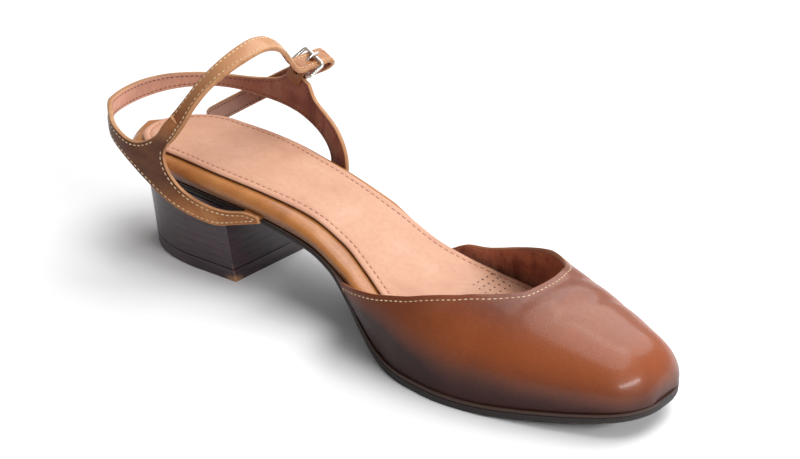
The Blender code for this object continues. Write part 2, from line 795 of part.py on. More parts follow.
def make_ankle_strap_mesh():
    """Ankle strap from its seam on the inner fork, over the instep, to its free end."""
    rings = []
    for place, heading, grain, half in strap_frames(STRAP_SAMPLES):
        across = grain.cross(heading)
        thick = grain * LEATHER / 2
        rings.append([
            place - across * half - thick,
            place + across * half - thick,
            place + across * half + thick,
            place - across * half + thick,
        ])
    return loft("ankle_strap", rings)


def cylinder(name, place, axis, radius, depth):
    """Plain cylinder mesh for a punched hole."""
    bm = bmesh.new()
    bmesh.ops.create_cone(bm, cap_ends=True, segments=14, radius1=radius, radius2=radius, depth=depth)
    turn = Vector((0, 0, 1)).rotation_difference(axis).to_matrix().to_4x4()
    bmesh.ops.transform(bm, matrix=turn, verts=bm.verts)
    bmesh.ops.translate(bm, verts=bm.verts, vec=place)
    return finish_mesh(name, bm)


def buckle_axes():
    """Centre of the buckle's frame and its three directions."""
    place, heading, grain, half = strap_frames(STRAP_SAMPLES)[BUCKLE_ROW * STRAP_SAMPLES]
    across = grain.cross(heading)
    lengthwise = heading * math.cos(BUCKLE_PITCH) + grain * math.sin(BUCKLE_PITCH)
    return place - grain * BUCKLE_DROP, lengthwise, across, heading, grain


def hinge_bar():
    """Middle of the frame's bar that the tab holds."""
    centre, lengthwise, across, heading, grain = buckle_axes()
    return centre - lengthwise * BUCKLE_LENGTH / 2


def prong_path():
    """Prong round the hinge bar, up through the strap and onto the far bar."""
    bar = hinge_bar()
    centre, lengthwise, across, heading, grain = buckle_axes()
    radius = BUCKLE_WIRE / 2 + PRONG_WIRE / 2 + GAP
    path = []
    for degrees in (-60, -105, -150, -195, -235):
        a = math.radians(degrees)
        path.append((radius * math.cos(a), radius * math.sin(a)))
    far = Vector((BUCKLE_LENGTH * math.cos(BUCKLE_PITCH), BUCKLE_LENGTH * math.sin(BUCKLE_PITCH)))
    clear = BUCKLE_WIRE / 2 + PRONG_WIRE / 2 + GAP
    path.append((far.x * 0.16, far.y * 0.40))
    path.append((far.x * 0.26, far.y * 0.64))
    path.append((far.x * 0.38, far.y * 0.92))
    path.append((far.x * 0.62, far.y + clear * 0.62))
    path.append((far.x + clear * 0.2, far.y + clear))
    path.append((far.x + clear * 1.2, far.y + clear * 0.9))
    points = [bar + heading * x + grain * z for x, z in path]
    return points


def make_wire(name, points, radius, closed, material, parent):
    """Round wire along points, as a curve with filled ends."""
    curve = bpy.data.curves.new(name, "CURVE")
    curve.dimensions = "3D"
    curve.bevel_depth = radius
    curve.bevel_resolution = 2
    curve.use_fill_caps = not closed
    spline = curve.splines.new("POLY")
    spline.points.add(len(points) - 1)
    for point, place in zip(spline.points, points):
        point.co = (*place, 1)
    spline.use_cyclic_u = closed
    obj = bpy.data.objects.new(name, curve)
    obj.data.materials.append(material)
    obj.parent = parent
    bpy.context.scene.collection.objects.link(obj)
    return obj


def make_buckle(material, parent):
    """Rectangular wire frame with rounded corners, and its prong."""
    centre, lengthwise, across, heading, grain = buckle_axes()
    corner = BUCKLE_WIRE
    points = []
    half_l, half_w = BUCKLE_LENGTH / 2, BUCKLE_WIDTH / 2
    for quarter, (sl, sw) in enumerate(((1, 1), (-1, 1), (-1, -1), (1, -1))):
        for k in range(4):
            a = math.pi / 2 * (quarter + k / 3)
            l = sl * (half_l - corner) + corner * math.cos(a)
            w = sw * (half_w - corner) + corner * math.sin(a)
            points.append(centre + lengthwise * l + across * w)
    frame = make_wire("buckle_frame", points, BUCKLE_WIRE / 2, True, material, parent)
    prong = make_wire("buckle_prong", through(prong_path(), 2), PRONG_WIRE / 2, False, material, parent)
    return frame, prong


def make_tab(material, parent):
    """Leather strip folded over the hinge bar and sewn to both faces of the outer fork."""
    bar = hinge_bar()
    centre, lengthwise, across, heading, grain = buckle_axes()
    inner = LEATHER / 2 + GAP
    rings = []
    for reach in (-TAB_WIDTH / 2, TAB_WIDTH / 2):
        ring = []
        for leaf, order in ((0.0, 1), (TAB_LEATHER, -1)):
            wide = inner + leaf
            over = BUCKLE_WIRE / 2 + GAP + leaf
            row = [bar + heading * wide - grain * TAB_DROP]
            for k in range(9):
                a = math.pi * k / 8
                row.append(bar + heading * wide * math.cos(a) + grain * over * math.sin(a))
            row.append(bar - heading * wide - grain * TAB_DROP)
            ring.extend(row[::order])
        rings.append([p + across * reach for p in ring])
    obj = new_object("buckle_tab", loft("buckle_tab", rings), material, parent)
    slot = bmesh.new()
    bmesh.ops.create_cube(slot, size=1)
    span = 2 * (inner + TAB_LEATHER) + 0.002
    width = PRONG_WIRE + 4 * GAP
    for vert in slot.verts:
        x, y, z = vert.co
        vert.co = bar + across * x * width + heading * y * span + grain * (z + 0.12) * 0.0042
    combine(obj, make_helper(finish_mesh("prong_slot", slot), parent), "DIFFERENCE")
    return obj


def make_harness(material, parent):
    """Whole strap harness: forked sides, sling, ankle strap and the ends under the footbed."""
    obj = new_object("strap_harness", make_harness_mesh(), material, parent)
    combine(obj, make_helper(make_ankle_strap_mesh(), parent), "UNION")
    for side in ("in", "out"):
        combine(obj, make_helper(strap_foot(side), parent), "UNION")
    frames = strap_frames(STRAP_SAMPLES)
    at_buckle = BUCKLE_ROW * STRAP_SAMPLES
    place, heading, grain, half = frames[at_buckle]
    entry = prong_path()[6] - place
    middle = place + heading * entry.dot(heading)
    holes = [("prong_hole", middle, grain, PRONG_HOLE / 2)]
    run, wanted = 0.0, 5 * HOLE_PITCH
    for before, after in zip(frames[at_buckle:], frames[at_buckle + 1:]):
        run += (after[0] - before[0]).length
        if run > wanted and len(holes) < 4:
            holes.append(("strap_hole_%d" % len(holes), after[0], after[2], STRAP_HOLE / 2))
            wanted += HOLE_PITCH
    for name, spot, axis, radius in holes:
        combine(obj, make_helper(cylinder(name, spot, axis, radius, 3 * LEATHER), parent), "DIFFERENCE")
    return obj


def make_material(name, colour, roughness, metallic=0.0):
    """Plain material with the piece's colour, roughness and metallic value."""
    material = bpy.data.materials.new(name)
    material.use_nodes = True
    shader = material.node_tree.nodes["Principled BSDF"]
    shader.inputs["Base Color"].default_value = (*colour, 1)
    shader.inputs["Roughness"].default_value = roughness
    shader.inputs["Metallic"].default_value = metallic
    return material


def main():
    """Build the shoe."""
    for obj in list(bpy.data.objects):
        bpy.data.objects.remove(obj)
    shoe = bpy.data.objects.new("sandal", None)
    shoe.location = (-(HEEL_TREAD_BACK + HEEL_TREAD_LENGTH / 2), 0, 0)
    bpy.context.scene.collection.objects.link(shoe)
    vamp_leather = make_material("vamp_leather", (0.27, 0.085, 0.025), 0.35)
    strap_leather = make_material("strap_leather", (0.42, 0.19, 0.06), 0.45)
    wrap_leather = make_material("wrap_leather", (0.55, 0.25, 0.07), 0.40)
    cover_leather = make_material("cover_leather", (0.78, 0.47, 0.32), 0.60)
    heel_stack = make_material("heel_stack", (0.035, 0.020, 0.022), 0.45)
    rubber = make_material("rubber", (0.020, 0.014, 0.014), 0.60)
    steel = make_material("steel", (0.75, 0.74, 0.72), 0.25, 1.0)
    make_outsole(rubber, shoe)
    make_heel(heel_stack, rubber, shoe)
    make_platform(wrap_leather, shoe)
    make_cover(cover_leather, shoe)
    make_vamp(vamp_leather, shoe)
    make_harness(strap_leather, shoe)
    make_buckle(steel, shoe)
    make_tab(strap_leather, shoe)


main()
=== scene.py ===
"""Looks of a left slingback sandal: leathers, threads, stacked heel and steel buckle.

Lengths are metres and angles are degrees. The shoe's own sizes run from the back of the
padded footbed towards the toe, the outer side of the foot is +Y, and `Last.world` moves them
to the frame, whose origin lies under the middle of the heel.
"""
import logging
import math
from bisect import bisect_right
from collections.abc import Callable, Iterable, Sequence
from dataclasses import dataclass, field
from enum import Enum

import bmesh
import bpy
import numpy as np
from mathutils import Matrix, Vector


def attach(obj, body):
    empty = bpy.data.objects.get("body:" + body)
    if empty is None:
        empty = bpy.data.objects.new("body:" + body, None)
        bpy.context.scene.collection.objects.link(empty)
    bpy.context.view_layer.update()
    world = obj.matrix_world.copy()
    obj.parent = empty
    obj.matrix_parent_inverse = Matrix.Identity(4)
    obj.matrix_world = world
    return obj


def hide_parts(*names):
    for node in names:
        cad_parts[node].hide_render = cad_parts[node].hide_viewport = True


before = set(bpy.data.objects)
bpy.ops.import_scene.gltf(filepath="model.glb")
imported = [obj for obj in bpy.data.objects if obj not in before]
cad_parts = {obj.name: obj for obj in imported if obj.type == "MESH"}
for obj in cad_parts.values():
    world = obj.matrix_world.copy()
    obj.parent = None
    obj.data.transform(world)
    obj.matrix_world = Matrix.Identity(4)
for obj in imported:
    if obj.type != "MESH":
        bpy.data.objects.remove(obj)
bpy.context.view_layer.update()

BODY = "root"
LOG = logging.getLogger("sandal")
Colour = tuple[float, float, float]
Span = tuple[float, float]
UP = Vector((0, 0, 1))
SHARP_EDGE = 40.0
FLAT_EDGE = 1.5
WELD = 1e-6


def clamp(share: float) -> float:
    """Keep a share between 0 and 1."""
    return min(max(share, 0.0), 1.0)


def quarter(step: int, steps: int) -> float:
    """Return the angle reached after a step of a quarter turn."""
    return math.pi / 2 * step / steps


class Side(Enum):
    """The two sides of the foot, with the sign of their Y."""

    INNER = -1
    OUTER = 1


@dataclass
class Table:
    """Smooth curves through a short table with named columns."""

    columns: str
    rows: Sequence[Sequence[float]]

    def column(self, name: str) -> list[float]:
        """Return one column as a list."""
        place = self.columns.split().index(name)
        return [row[place] for row in self.rows]

    def curve(self, name: str) -> Callable[[float], float]:
        """Make a smooth function of the first column that keeps flat runs flat.

        Args:
            name: Column that the function reads.

        Returns:
            Function from a value of the first column to a value of the named one.
        """
        xs = self.column(self.columns.split()[0])
        ys = self.column(name)
        steps = [(ys[k + 1] - ys[k]) / (xs[k + 1] - xs[k]) for k in range(len(xs) - 1)]
        slopes = [steps[0]]
        for before, after in zip(steps, steps[1:]):
            level = before * after <= 0
            slopes.append(0.0 if level else 2 * before * after / (before + after))
        slopes.append(steps[-1])

        def value(x: float) -> float:
            """Read the curve at x.

            Args:
                x: Value of the first column.

            Returns:
                Value of the named column.
            """
            x = min(max(x, xs[0]), xs[-1])
            k = min(bisect_right(xs, x) - 1, len(steps) - 1)
            span = xs[k + 1] - xs[k]
            t = (x - xs[k]) / span
            bend = span * (slopes[k] * t * (1 - t) ** 2 - slopes[k + 1] * t * t * (1 - t))
            return ys[k] + (ys[k + 1] - ys[k]) * t * t * (3 - 2 * t) + bend

        return value


PROFILE = Table("along tread sole stack", (
    (0, 1, 0.619, 0.95), (0.1, 1.017, 0.619, 1), (0.2, 0.983, 0.619, 1), (0.3, 0.888, 0.619, 0.98),
    (0.4, 0.743, 0.619, 0.82), (0.445, 0.624, 0.631, 0.76), (0.5, 0.395, 0.69, 0.8),
    (0.545, 0.193, 0.786, 0.96), (0.595, 0.029, 0.929, 1.12), (0.623, 0, 1, 1.04),
    (0.694, 0, 1, 0.82), (0.754, 0, 1, 0.74), (0.794, 0.016, 0.988, 0.72),
    (0.893, 0.104, 0.929, 0.6), (1, 0.243, 0.833, 0.42),
))

OUTLINES = Table("along cover_in cover_out rand_in rand_out sole_in sole_out", (
    (0, 0.264, 0.259, 0.323, 0.323, 0.303, 0.305), (0.1, 0.264, 0.262, 0.323, 0.325, 0.302, 0.305),
    (0.2, 0.259, 0.285, 0.316, 0.349, 0.292, 0.329),
    (0.3, 0.208, 0.279, 0.272, 0.345, 0.252, 0.325),
    (0.4, 0.149, 0.286, 0.238, 0.351, 0.236, 0.328),
    (0.445, 0.15, 0.303, 0.243, 0.365, 0.25, 0.348), (0.5, 0.177, 0.33, 0.268, 0.39, 0.305, 0.392),
    (0.545, 0.222, 0.368, 0.33, 0.425, 0.365, 0.424),
    (0.595, 0.279, 0.405, 0.395, 0.44, 0.426, 0.454),
    (0.655, 0.343, 0.434, 0.45, 0.46, 0.485, 0.489), (0.714, 0.39, 0.448, 0.47, 0.472, 0.5, 0.5),
    (0.774, 0.408, 0.443, 0.45, 0.455, 0.474, 0.483),
    (0.833, 0.385, 0.405, 0.4, 0.415, 0.42, 0.437),
    (0.893, 0.325, 0.335, 0.335, 0.345, 0.352, 0.362),
    (0.952, 0.245, 0.245, 0.255, 0.255, 0.275, 0.275), (1, 0.19, 0.19, 0.2, 0.2, 0.23, 0.23),
))

VAMP_ROWS = Table("along rise full_in full_out", (
    (0.47, 1.053, 0.449, 0.443), (0.545, 1.09, 0.485, 0.457), (0.6, 1.082, 0.498, 0.485),
    (0.655, 1.04, 0.507, 0.505), (0.714, 0.985, 0.503, 0.512), (0.774, 0.862, 0.485, 0.482),
    (0.833, 0.732, 0.441, 0.444), (0.893, 0.585, 0.37, 0.377), (0.952, 0.445, 0.293, 0.288),
    (1, 0.355, 0.24, 0.265),
))

TOPLINE = Table("angle along", (
    (0, 0.492), (12, 0.513), (20, 0.547), (28, 0.588), (36, 0.639), (46, 0.697), (60, 0.755),
    (75, 0.788), (90, 0.794), (105, 0.786), (118, 0.762), (130, 0.717), (142, 0.655), (152, 0.597),
    (162, 0.548), (180, 0.506),
))

LOOP = Table("forward aside", (
    (0.988, -0.65), (0.938, -0.668), (0.875, -0.7), (0.75, -0.778), (0.625, -0.867), (0.5, -0.95),
    (0.375, -1.008), (0.25, -1.028), (0.125, -0.972), (0.038, -0.833), (-0.038, -0.667),
    (-0.088, -0.458), (-0.112, -0.222), (-0.112, 0.056), (-0.075, 0.333), (0, 0.556), (0.1, 0.736),
    (0.25, 0.889), (0.375, 0.972), (0.5, 1.008), (0.625, 1.008), (0.75, 0.981), (0.875, 0.917),
    (0.938, 0.878), (0.988, 0.855),
))

LOW_EDGE = Table("around height corner", (
    (0, 0.513, 1), (0.043, 0.469, 0), (0.091, 0.43, 0), (0.139, 0.462, 0), (0.186, 0.53, 0),
    (0.233, 0.644, 0), (0.278, 0.752, 0), (0.325, 0.834, 0), (0.364, 0.873, 0), (0.441, 0.864, 0),
    (0.526, 0.878, 0), (0.62, 0.909, 0), (0.7, 0.92, 0), (0.774, 0.893, 0), (0.82, 0.875, 0),
    (0.865, 0.842, 0), (0.911, 0.774, 0), (0.938, 0.708, 0), (0.95, 0.64, 0), (0.953, 0.537, 1),
    (1, 0.532, 1),
))

HIGH_EDGE = Table("around height corner", (
    (1, 0.532, 1), (0.999, 0.649, 0), (0.99, 0.747, 0), (0.974, 0.82, 0), (0.95, 0.883, 0),
    (0.911, 0.951, 0), (0.892, 1, 0), (0.878, 1.522, 1), (0.834, 2, 1), (0.822, 1.705, 0),
    (0.804, 1.428, 0), (0.774, 1.245, 0), (0.727, 1.12, 0), (0.62, 1.076, 0), (0.526, 1.031, 0),
    (0.441, 0.995, 0), (0.39, 1.031, 0), (0.35, 0.985, 0), (0.315, 0.932, 0), (0.278, 0.893, 0),
    (0.252, 0.893, 0), (0.23, 0.924, 0), (0.209, 0.979, 0), (0.195, 1.352, 0), (0.178, 1.837, 1),
    (0.155, 1.365, 1), (0.172, 0.99, 0), (0.187, 0.914, 0), (0.193, 0.834, 0), (0.185, 0.745, 0),
    (0.164, 0.654, 0), (0.141, 0.599, 0), (0.116, 0.564, 0), (0.09, 0.545, 0), (0.066, 0.544, 0),
    (0.046, 0.557, 0), (0.03, 0.564, 0), (0, 0.552, 1),
))

ANKLE_STRAP = Table("forward aside height face_x face_y face_z width", (
    (0.45, -0.939, 0.612, -0.05, -1, 0.05, 0.86), (0.506, -0.914, 0.67, -0.08, -0.98, 0.1, 0.92),
    (0.55, -0.886, 0.732, -0.15, -0.9, 0.35, 1), (0.584, -0.806, 0.799, -0.25, -0.75, 0.6, 1),
    (0.622, -0.675, 0.874, -0.15, -0.62, 0.76, 1), (0.662, -0.5, 0.936, 0.05, -0.45, 0.89, 1),
    (0.682, -0.25, 0.978, 0.28, -0.25, 0.92, 1), (0.688, 0, 0.998, 0.38, -0.02, 0.92, 1),
    (0.68, 0.222, 0.985, 0.38, 0.2, 0.9, 1), (0.665, 0.417, 0.949, 0.38, 0.5, 0.78, 1),
    (0.65, 0.569, 0.902, 0.42, 0.7, 0.58, 1), (0.636, 0.694, 0.853, 0.42, 0.68, 0.58, 1),
    (0.622, 0.806, 0.815, 0.44, 0.4, 0.8, 1), (0.611, 0.917, 0.799, 0.46, 0.05, 0.89, 1),
    (0.608, 1.014, 0.799, 0.46, 0, 0.89, 1), (0.608, 1.1, 0.799, 0.46, 0, 0.89, 1),
    (0.608, 1.194, 0.799, 0.46, 0, 0.89, 1), (0.608, 1.292, 0.8, 0.45, 0, 0.89, 1),
    (0.608, 1.389, 0.799, 0.43, 0.3, 0.85, 1), (0.603, 1.467, 0.784, 0.25, 0.85, 0.45, 1),
    (0.59, 1.492, 0.766, 0.1, 1, -0.15, 1), (0.57, 1.456, 0.752, 0.05, 0.9, -0.1, 1),
    (0.531, 1.369, 0.732, 0, 0.92, 0.1, 1), (0.469, 1.278, 0.695, 0, 0.92, 0.25, 1),
    (0.375, 1.2, 0.64, 0, 0.91, 0.38, 1), (0.25, 1.15, 0.567, 0, 0.9, 0.43, 1),
    (0.125, 1.128, 0.493, 0, 0.9, 0.43, 1), (0, 1.122, 0.419, 0, 0.9, 0.43, 1),
    (-0.075, 1.125, 0.375, 0, 0.9, 0.43, 0.94), (-0.102, 1.128, 0.359, 0, 0.9, 0.43, 0.6),
))
BUCKLE_ROW = 15


@dataclass
class Last:
    """Form that the whole shoe is made on, and the heights of its layers."""

    sole_length: float = 0.252
    ball_width: float = 0.0846
    heel_rise: float = 0.0342
    footbed_stack: float = 0.0100
    outsole_thickness: float = 0.0042
    cover_thickness: float = 0.0016
    platform_overhang: float = 0.0055
    gap: float = 0.0003
    seat_radius: float = 0.0300
    sole_back: float = 0.0012
    toe_start: float = 0.930
    toe_squareness: float = 2.68
    tip_gap: float = 0.0001
    rand_ease: float = 0.30
    rand_tuck: float = 0.0020
    cover_round: float = 0.0240
    cover_setback: float = 0.0105
    platform_setback: float = 0.0075
    first_step: float = 0.00004
    vamp_setback: float = 0.0008
    vamp_wall: float = 0.0018
    heel_middle: float = 0.0360

    def __post_init__(self) -> None:
        """Place the toe's tip and read the tables into curves."""
        self.sole_tip = self.sole_length - self.tip_gap
        self.shares = {name: PROFILE.curve(name) for name in ("tread", "sole", "stack")}
        for name in OUTLINES.columns.split()[1:]:
            self.shares[name] = OUTLINES.curve(name)

    def world(self, x: float, y: float, z: float) -> Vector:
        """Return a point of the shoe's own sizes in the frame."""
        return Vector((x - self.heel_middle, y, z))

    def share(self, name: str, x: float) -> float:
        """Return a table's share at a distance along the sole."""
        return self.shares[name](x / self.sole_length)

    def tread_z(self, x: float) -> float:
        """Return the height of the outsole's underside."""
        return self.heel_rise * self.share("tread", x)

    def bench_z(self, x: float) -> float:
        """Return the height of the outsole's upper face."""
        return self.tread_z(x) + self.outsole_thickness * self.share("sole", x)

    def footbed_z(self, x: float) -> float:
        """Return the height of the padded cover's upper face."""
        return self.bench_z(x) + self.footbed_stack * self.share("stack", x)

    def toe_round(self, x: float) -> float:
        """Return the share of width left where an outline rounds off at a square toe.

        Args:
            x: Distance along the sole.

        Returns:
            Share of the width.
        """
        start = self.sole_length * self.toe_start
        t = clamp((x - start) / (self.sole_length - start))
        return (1 - t ** self.toe_squareness) ** (1 / self.toe_squareness)

    def half(self, x: float, name: str, back: float, radius: float) -> float:
        """Return the half width of one outline with both its ends rounded.

        Args:
            x: Distance along the sole.
            name: Column of the outline table.
            back: Where the outline's back end lies.
            radius: How far its rounded back reaches forward.

        Returns:
            Half width in metres.
        """
        t = clamp((back + radius - x) / radius)
        ends = math.sqrt(1 - t * t) * self.toe_round(x)
        return self.ball_width * self.share(name, x) * ends

    def suffix(self, side: Side) -> str:
        """Return the ending of a side's columns."""
        return "_in" if side is Side.INNER else "_out"

    def sole_half(self, x: float, side: Side) -> float:
        """Return the half width of the outsole."""
        return self.half(x, "sole" + self.suffix(side), self.sole_back, self.seat_radius)

    def vamp_foot_half(self, x: float, side: Side) -> float:
        """Return the half width of the vamp's lower edge."""
        return self.sole_half(x, side) - self.vamp_setback

    def rand_half(self, x: float, side: Side) -> float:
        """Return the half width of the platform, eased in under the vamp.

        Args:
            x: Distance along the sole.
            side: Side of the foot.

        Returns:
            Half width in metres.
        """
        free = self.half(x, "rand" + self.suffix(side), -self.platform_overhang, self.seat_radius)
        vamp_start = self.sole_length * TOPLINE.rows[0][1]
        ease = self.rand_ease * max(vamp_start - self.rand_tuck - x, 0.0)
        return min(free, self.vamp_foot_half(x, side) - self.vamp_wall - self.gap + ease)

    def cover_half(self, x: float, side: Side) -> float:
        """Return the half width of the padded cover."""
        free = self.half(x, "cover" + self.suffix(side), 0.0, self.cover_round)
        return min(free, max(self.rand_half(x, side) - 2 * self.gap, self.gap))

    def stations(self, start: float, end: float, middle: int = 150, ends: int = 16) -> list[float]:
        """Place stations from heel to toe, closer together where both ends round off.

        Args:
            start: Back end of the outline.
            end: Front end of the outline.
            middle: How many steps lie between the rounded ends.
            ends: How many steps each rounded end has.

        Returns:
            Distances along the sole.
        """
        toe = self.sole_length * self.toe_start
        places = []
        for k in range(ends):
            t = 1 - math.cos(quarter(k, ends))
            reach = self.seat_radius - start - self.first_step
            places.append(start + self.first_step + reach * t)
        for k in range(middle):
            places.append(self.seat_radius + (toe - self.seat_radius) * k / middle)
        for k in range(ends + 1):
            places.append(toe + (end - toe) * math.sin(quarter(k, ends)))
        return places


LAST = Last()


class Value:
    """One shader socket that works in Python arithmetic."""

    def __init__(self, nodes: "Nodes", socket: bpy.types.NodeSocket) -> None:
        """Wrap a socket of a node tree."""
        self.nodes = nodes
        self.socket = socket

    def _math(self, operation: str, *operands: object) -> "Value":
        """Add one Math node."""
        return self.nodes.add("Math", {"operation": operation}, dict(enumerate(operands)))

    def __add__(self, other: object) -> "Value":
        """Return the sum."""
        return self._math("ADD", self, other)

    def __radd__(self, other: object) -> "Value":
        """Return the sum with a number on the left."""
        return self._math("ADD", other, self)

    def __sub__(self, other: object) -> "Value":
        """Return the difference."""
        return self._math("SUBTRACT", self, other)

    def __rsub__(self, other: object) -> "Value":
        """Return the difference from a number."""
        return self._math("SUBTRACT", other, self)

    def __mul__(self, other: object) -> "Value":
        """Return the product."""
        return self._math("MULTIPLY", self, other)

    def __rmul__(self, other: object) -> "Value":
        """Return the product with a number on the left."""
        return self._math("MULTIPLY", other, self)

    def sine(self) -> "Value":
        """Return the sine."""
        return self._math("SINE", self)

    def size(self) -> "Value":
        """Return the absolute value."""
        return self._math("ABSOLUTE", self)

    def within(self, low: float, high: float) -> "Value":
        """Return a soft step that runs from 0 at low to 1 at high."""
        settings = {"interpolation_type": "SMOOTHSTEP"}
        return self.nodes.add("MapRange", settings, {"Value": self, 1: low, 2: high, 3: 0.0, 4: 1.0})


class Nodes:
    """Node tree of one finish, with its Principled shader."""

    def __init__(self, name: str) -> None:
        """Start a material with a bare Principled shader.

        Args:
            name: Name of the material.
        """
        self.material = bpy.data.materials.new(name)
        self.material.use_nodes = True
        self.tree = self.material.node_tree
        self.shader = self.tree.nodes["Principled BSDF"]
        self.place = self.add("TexCoord", {}, {}, "Object")

    def put(self, socket: bpy.types.NodeSocket, value: object) -> None:
        """Link a value into a socket, or set a plain number or colour on it.

        Args:
            socket: Input socket.
            value: Link, number or colour.
        """
        if isinstance(value, Value):
            self.tree.links.new(value.socket, socket)
        elif isinstance(value, tuple) and len(value) == 3 and socket.type == "RGBA":
            socket.default_value = (*value, 1.0)
        else:
            socket.default_value = value

    def add(self, kind: str, settings: dict, sockets: dict, output: int | str = 0) -> Value:
        """Add any node.

        Args:
            kind: Node type without its ShaderNode prefix.
            settings: Node properties, or a ramp's stops, which are set first.
            sockets: Values or links of the node's inputs.
            output: Which output is returned.

        Returns:
            The chosen output.
        """
        node = self.tree.nodes.new("ShaderNode" + kind)
        for name, value in settings.items():
            if name == "stops":
                ramp = node.color_ramp
                while len(ramp.elements) < len(value):
                    ramp.elements.new(1.0)
                for element, (place, colour) in zip(ramp.elements, value):
                    element.position = place
                    element.color = (*colour, 1.0)
            else:
                setattr(node, name, value)
        for name, value in sockets.items():
            self.put(node.inputs[name], value)
        return Value(self, node.outputs[output])

    def mix(self, factor: object, first: object, second: object, blend: str = "MIX") -> Value:
        """Mix two colours."""
        settings = {"data_type": "RGBA", "blend_type": blend, "clamp_factor": True}
        return self.add("Mix", settings, {0: factor, 6: first, 7: second}, 2)

    def parts(self) -> list[Value]:
        """Return how far along the shoe, across it and up a place on it lies."""
        return [self.add("SeparateXYZ", {}, {0: self.place}, axis) for axis in ("X", "Y", "Z")]

    def facing_up(self) -> Value:
        """Return how far the surface faces up, from -1 to 1."""
        normal = self.add("NewGeometry", {}, {}, "Normal")
        return self.add("SeparateXYZ", {}, {0: normal}, "Z")

    def noise(self, scale: float, detail: float = 2.0, rough: float = 0.5,
              stretch: Colour | None = None) -> Value:
        """Return a cloudy value from 0 to 1.

        Args:
            scale: Number of clouds in a metre.
            detail: Levels of finer clouds.
            rough: Share of the finer clouds.
            stretch: Factors of the place along its three axes.

        Returns:
            The value.
        """
        place = self.place
        if stretch:
            place = self.add("VectorMath", {"operation": "MULTIPLY"}, {0: place, 1: stretch})
        sockets = {"Vector": place, "Scale": scale, "Detail": detail, "Roughness": rough}
        return self.add("TexNoise", {}, sockets)

    def cells(self, scale: float, feature: str) -> Value:
        """Return a distance in a pattern of cells."""
        return self.add("TexVoronoi", {"feature": feature}, {"Vector": self.place, "Scale": scale})

    def feed(self, **sockets: object) -> None:
        """Set the shader's own sockets, with underscores for spaces in their names."""
        for name, value in sockets.items():
            self.put(self.shader.inputs[name.replace("_", " ")], value)

    def bump(self, height: Value, distance: float, strength: float = 1.0) -> None:
        """Feed a height in shares of a distance to the shader's normal."""
        sockets = {"Height": height, "Distance": distance, "Strength": strength}
        self.feed(Normal=self.add("Bump", {}, sockets))


def tint(text: str) -> Colour:
    """Turn a six-figure hexadecimal colour into linear light.

    Args:
        text: Six figures, two each for red, green and blue.

    Returns:
        The colour.
    """
    levels = [int(text[k:k + 2], 16) / 255 for k in (0, 2, 4)]
    light = [v / 12.92 if v <= 0.04045 else ((v + 0.055) / 1.055) ** 2.4 for v in levels]
    return light[0], light[1], light[2]


@dataclass(frozen=True)
class Finish:
    """One named finish of the shoe."""

    name: str

    def dress(self, nodes: Nodes) -> None:
        """Feed the shader, as each finish does in its own way."""
        raise NotImplementedError

    def make(self) -> bpy.types.Material:
        """Build the material.

        Returns:
            The dressed material.
        """
        nodes = Nodes(self.name)
        self.dress(nodes)
        return nodes.material


@dataclass(frozen=True)
class Leather(Finish):
    """Finish of one cut of leather: colours, gloss and grain."""

    colour: Colour
    deep: Colour
    pale: Colour
    roughness: float = 0.42
    coat: float = 0.25
    coat_roughness: float = 0.22
    pore: float = 0.0007
    relief: float = 0.00010
    cloud: float = 0.018
    wrinkle: float = 0.0
    specular: float = 0.35
    drape: float = 0.0
    patches: float = 0.7
    mottle: float = 0.25
    painted_fold_shade: float = 0.6
    fold_relief: float = 2.2
    polish_drift: float = 0.16

    def base(self, nodes: Nodes) -> Value:
        """Colour that drifts between a deeper and a paler dye, with painted shade in the troughs of
        any wrinkles.

        Args:
            nodes: Node tree of the finish.

        Returns:
            The dyed colour.
        """
        drift = nodes.noise(1 / self.cloud, 3.0)
        fine = nodes.noise(9 / self.cloud, 2.0)
        deeper = nodes.mix(drift.within(0.50, 0.25) * self.patches, self.colour, self.deep)
        lighter = nodes.mix(drift.within(0.50, 0.75) * self.patches, deeper, self.pale)
        dyed = nodes.mix(fine.within(0.60, 0.30) * self.mottle, lighter, self.deep)
        if self.wrinkle:
            # Painted shade: the troughs of the folds are darkened towards the deep colour.
            shade = self.folds(nodes).within(0.50, 0.30) * self.painted_fold_shade
            dyed = nodes.mix(shade, dyed, self.deep)
        return dyed

    def folds(self, nodes: Nodes) -> Value:
        """Upright wrinkles of a lining that was bent inwards."""
        return nodes.noise(1 / self.wrinkle, 3.0, stretch=(1.0, 1.0, 0.14))

    def height(self, nodes: Nodes) -> Value:
        """Relief of the grain: small cells with fine lines between them.

        Args:
            nodes: Node tree of the finish.

        Returns:
            Height in shares of the relief.
        """
        pores = nodes.cells(1 / self.pore, "DISTANCE_TO_EDGE")
        soft = nodes.noise(0.35 / self.pore, 3.0)
        relief = pores.within(0.0, 0.25) * 0.5 + soft * 0.8
        if self.wrinkle:
            relief = relief + self.folds(nodes) * self.fold_relief
        if self.drape:
            waves = nodes.noise(48.0, 3.0, 0.45, stretch=(1.0, 0.45, 0.7))
            relief = relief + waves * (self.drape / self.relief)
        return relief

    def shine(self, nodes: Nodes) -> Value | float:
        """Weight of the polish over the dye."""
        return self.coat

    def dress(self, nodes: Nodes) -> None:
        """Feed dye, polish and grain to the shader.

        Args:
            nodes: Node tree of the finish.
        """
        handled = nodes.noise(4 / self.cloud, 2.0) * self.polish_drift
        nodes.feed(
            Base_Color=self.base(nodes),
            Roughness=self.roughness + handled - self.polish_drift / 2,
            Specular_IOR_Level=self.specular,
            Coat_Weight=self.shine(nodes),
            Coat_Roughness=self.coat_roughness,
        )
        nodes.bump(self.height(nodes), self.relief)


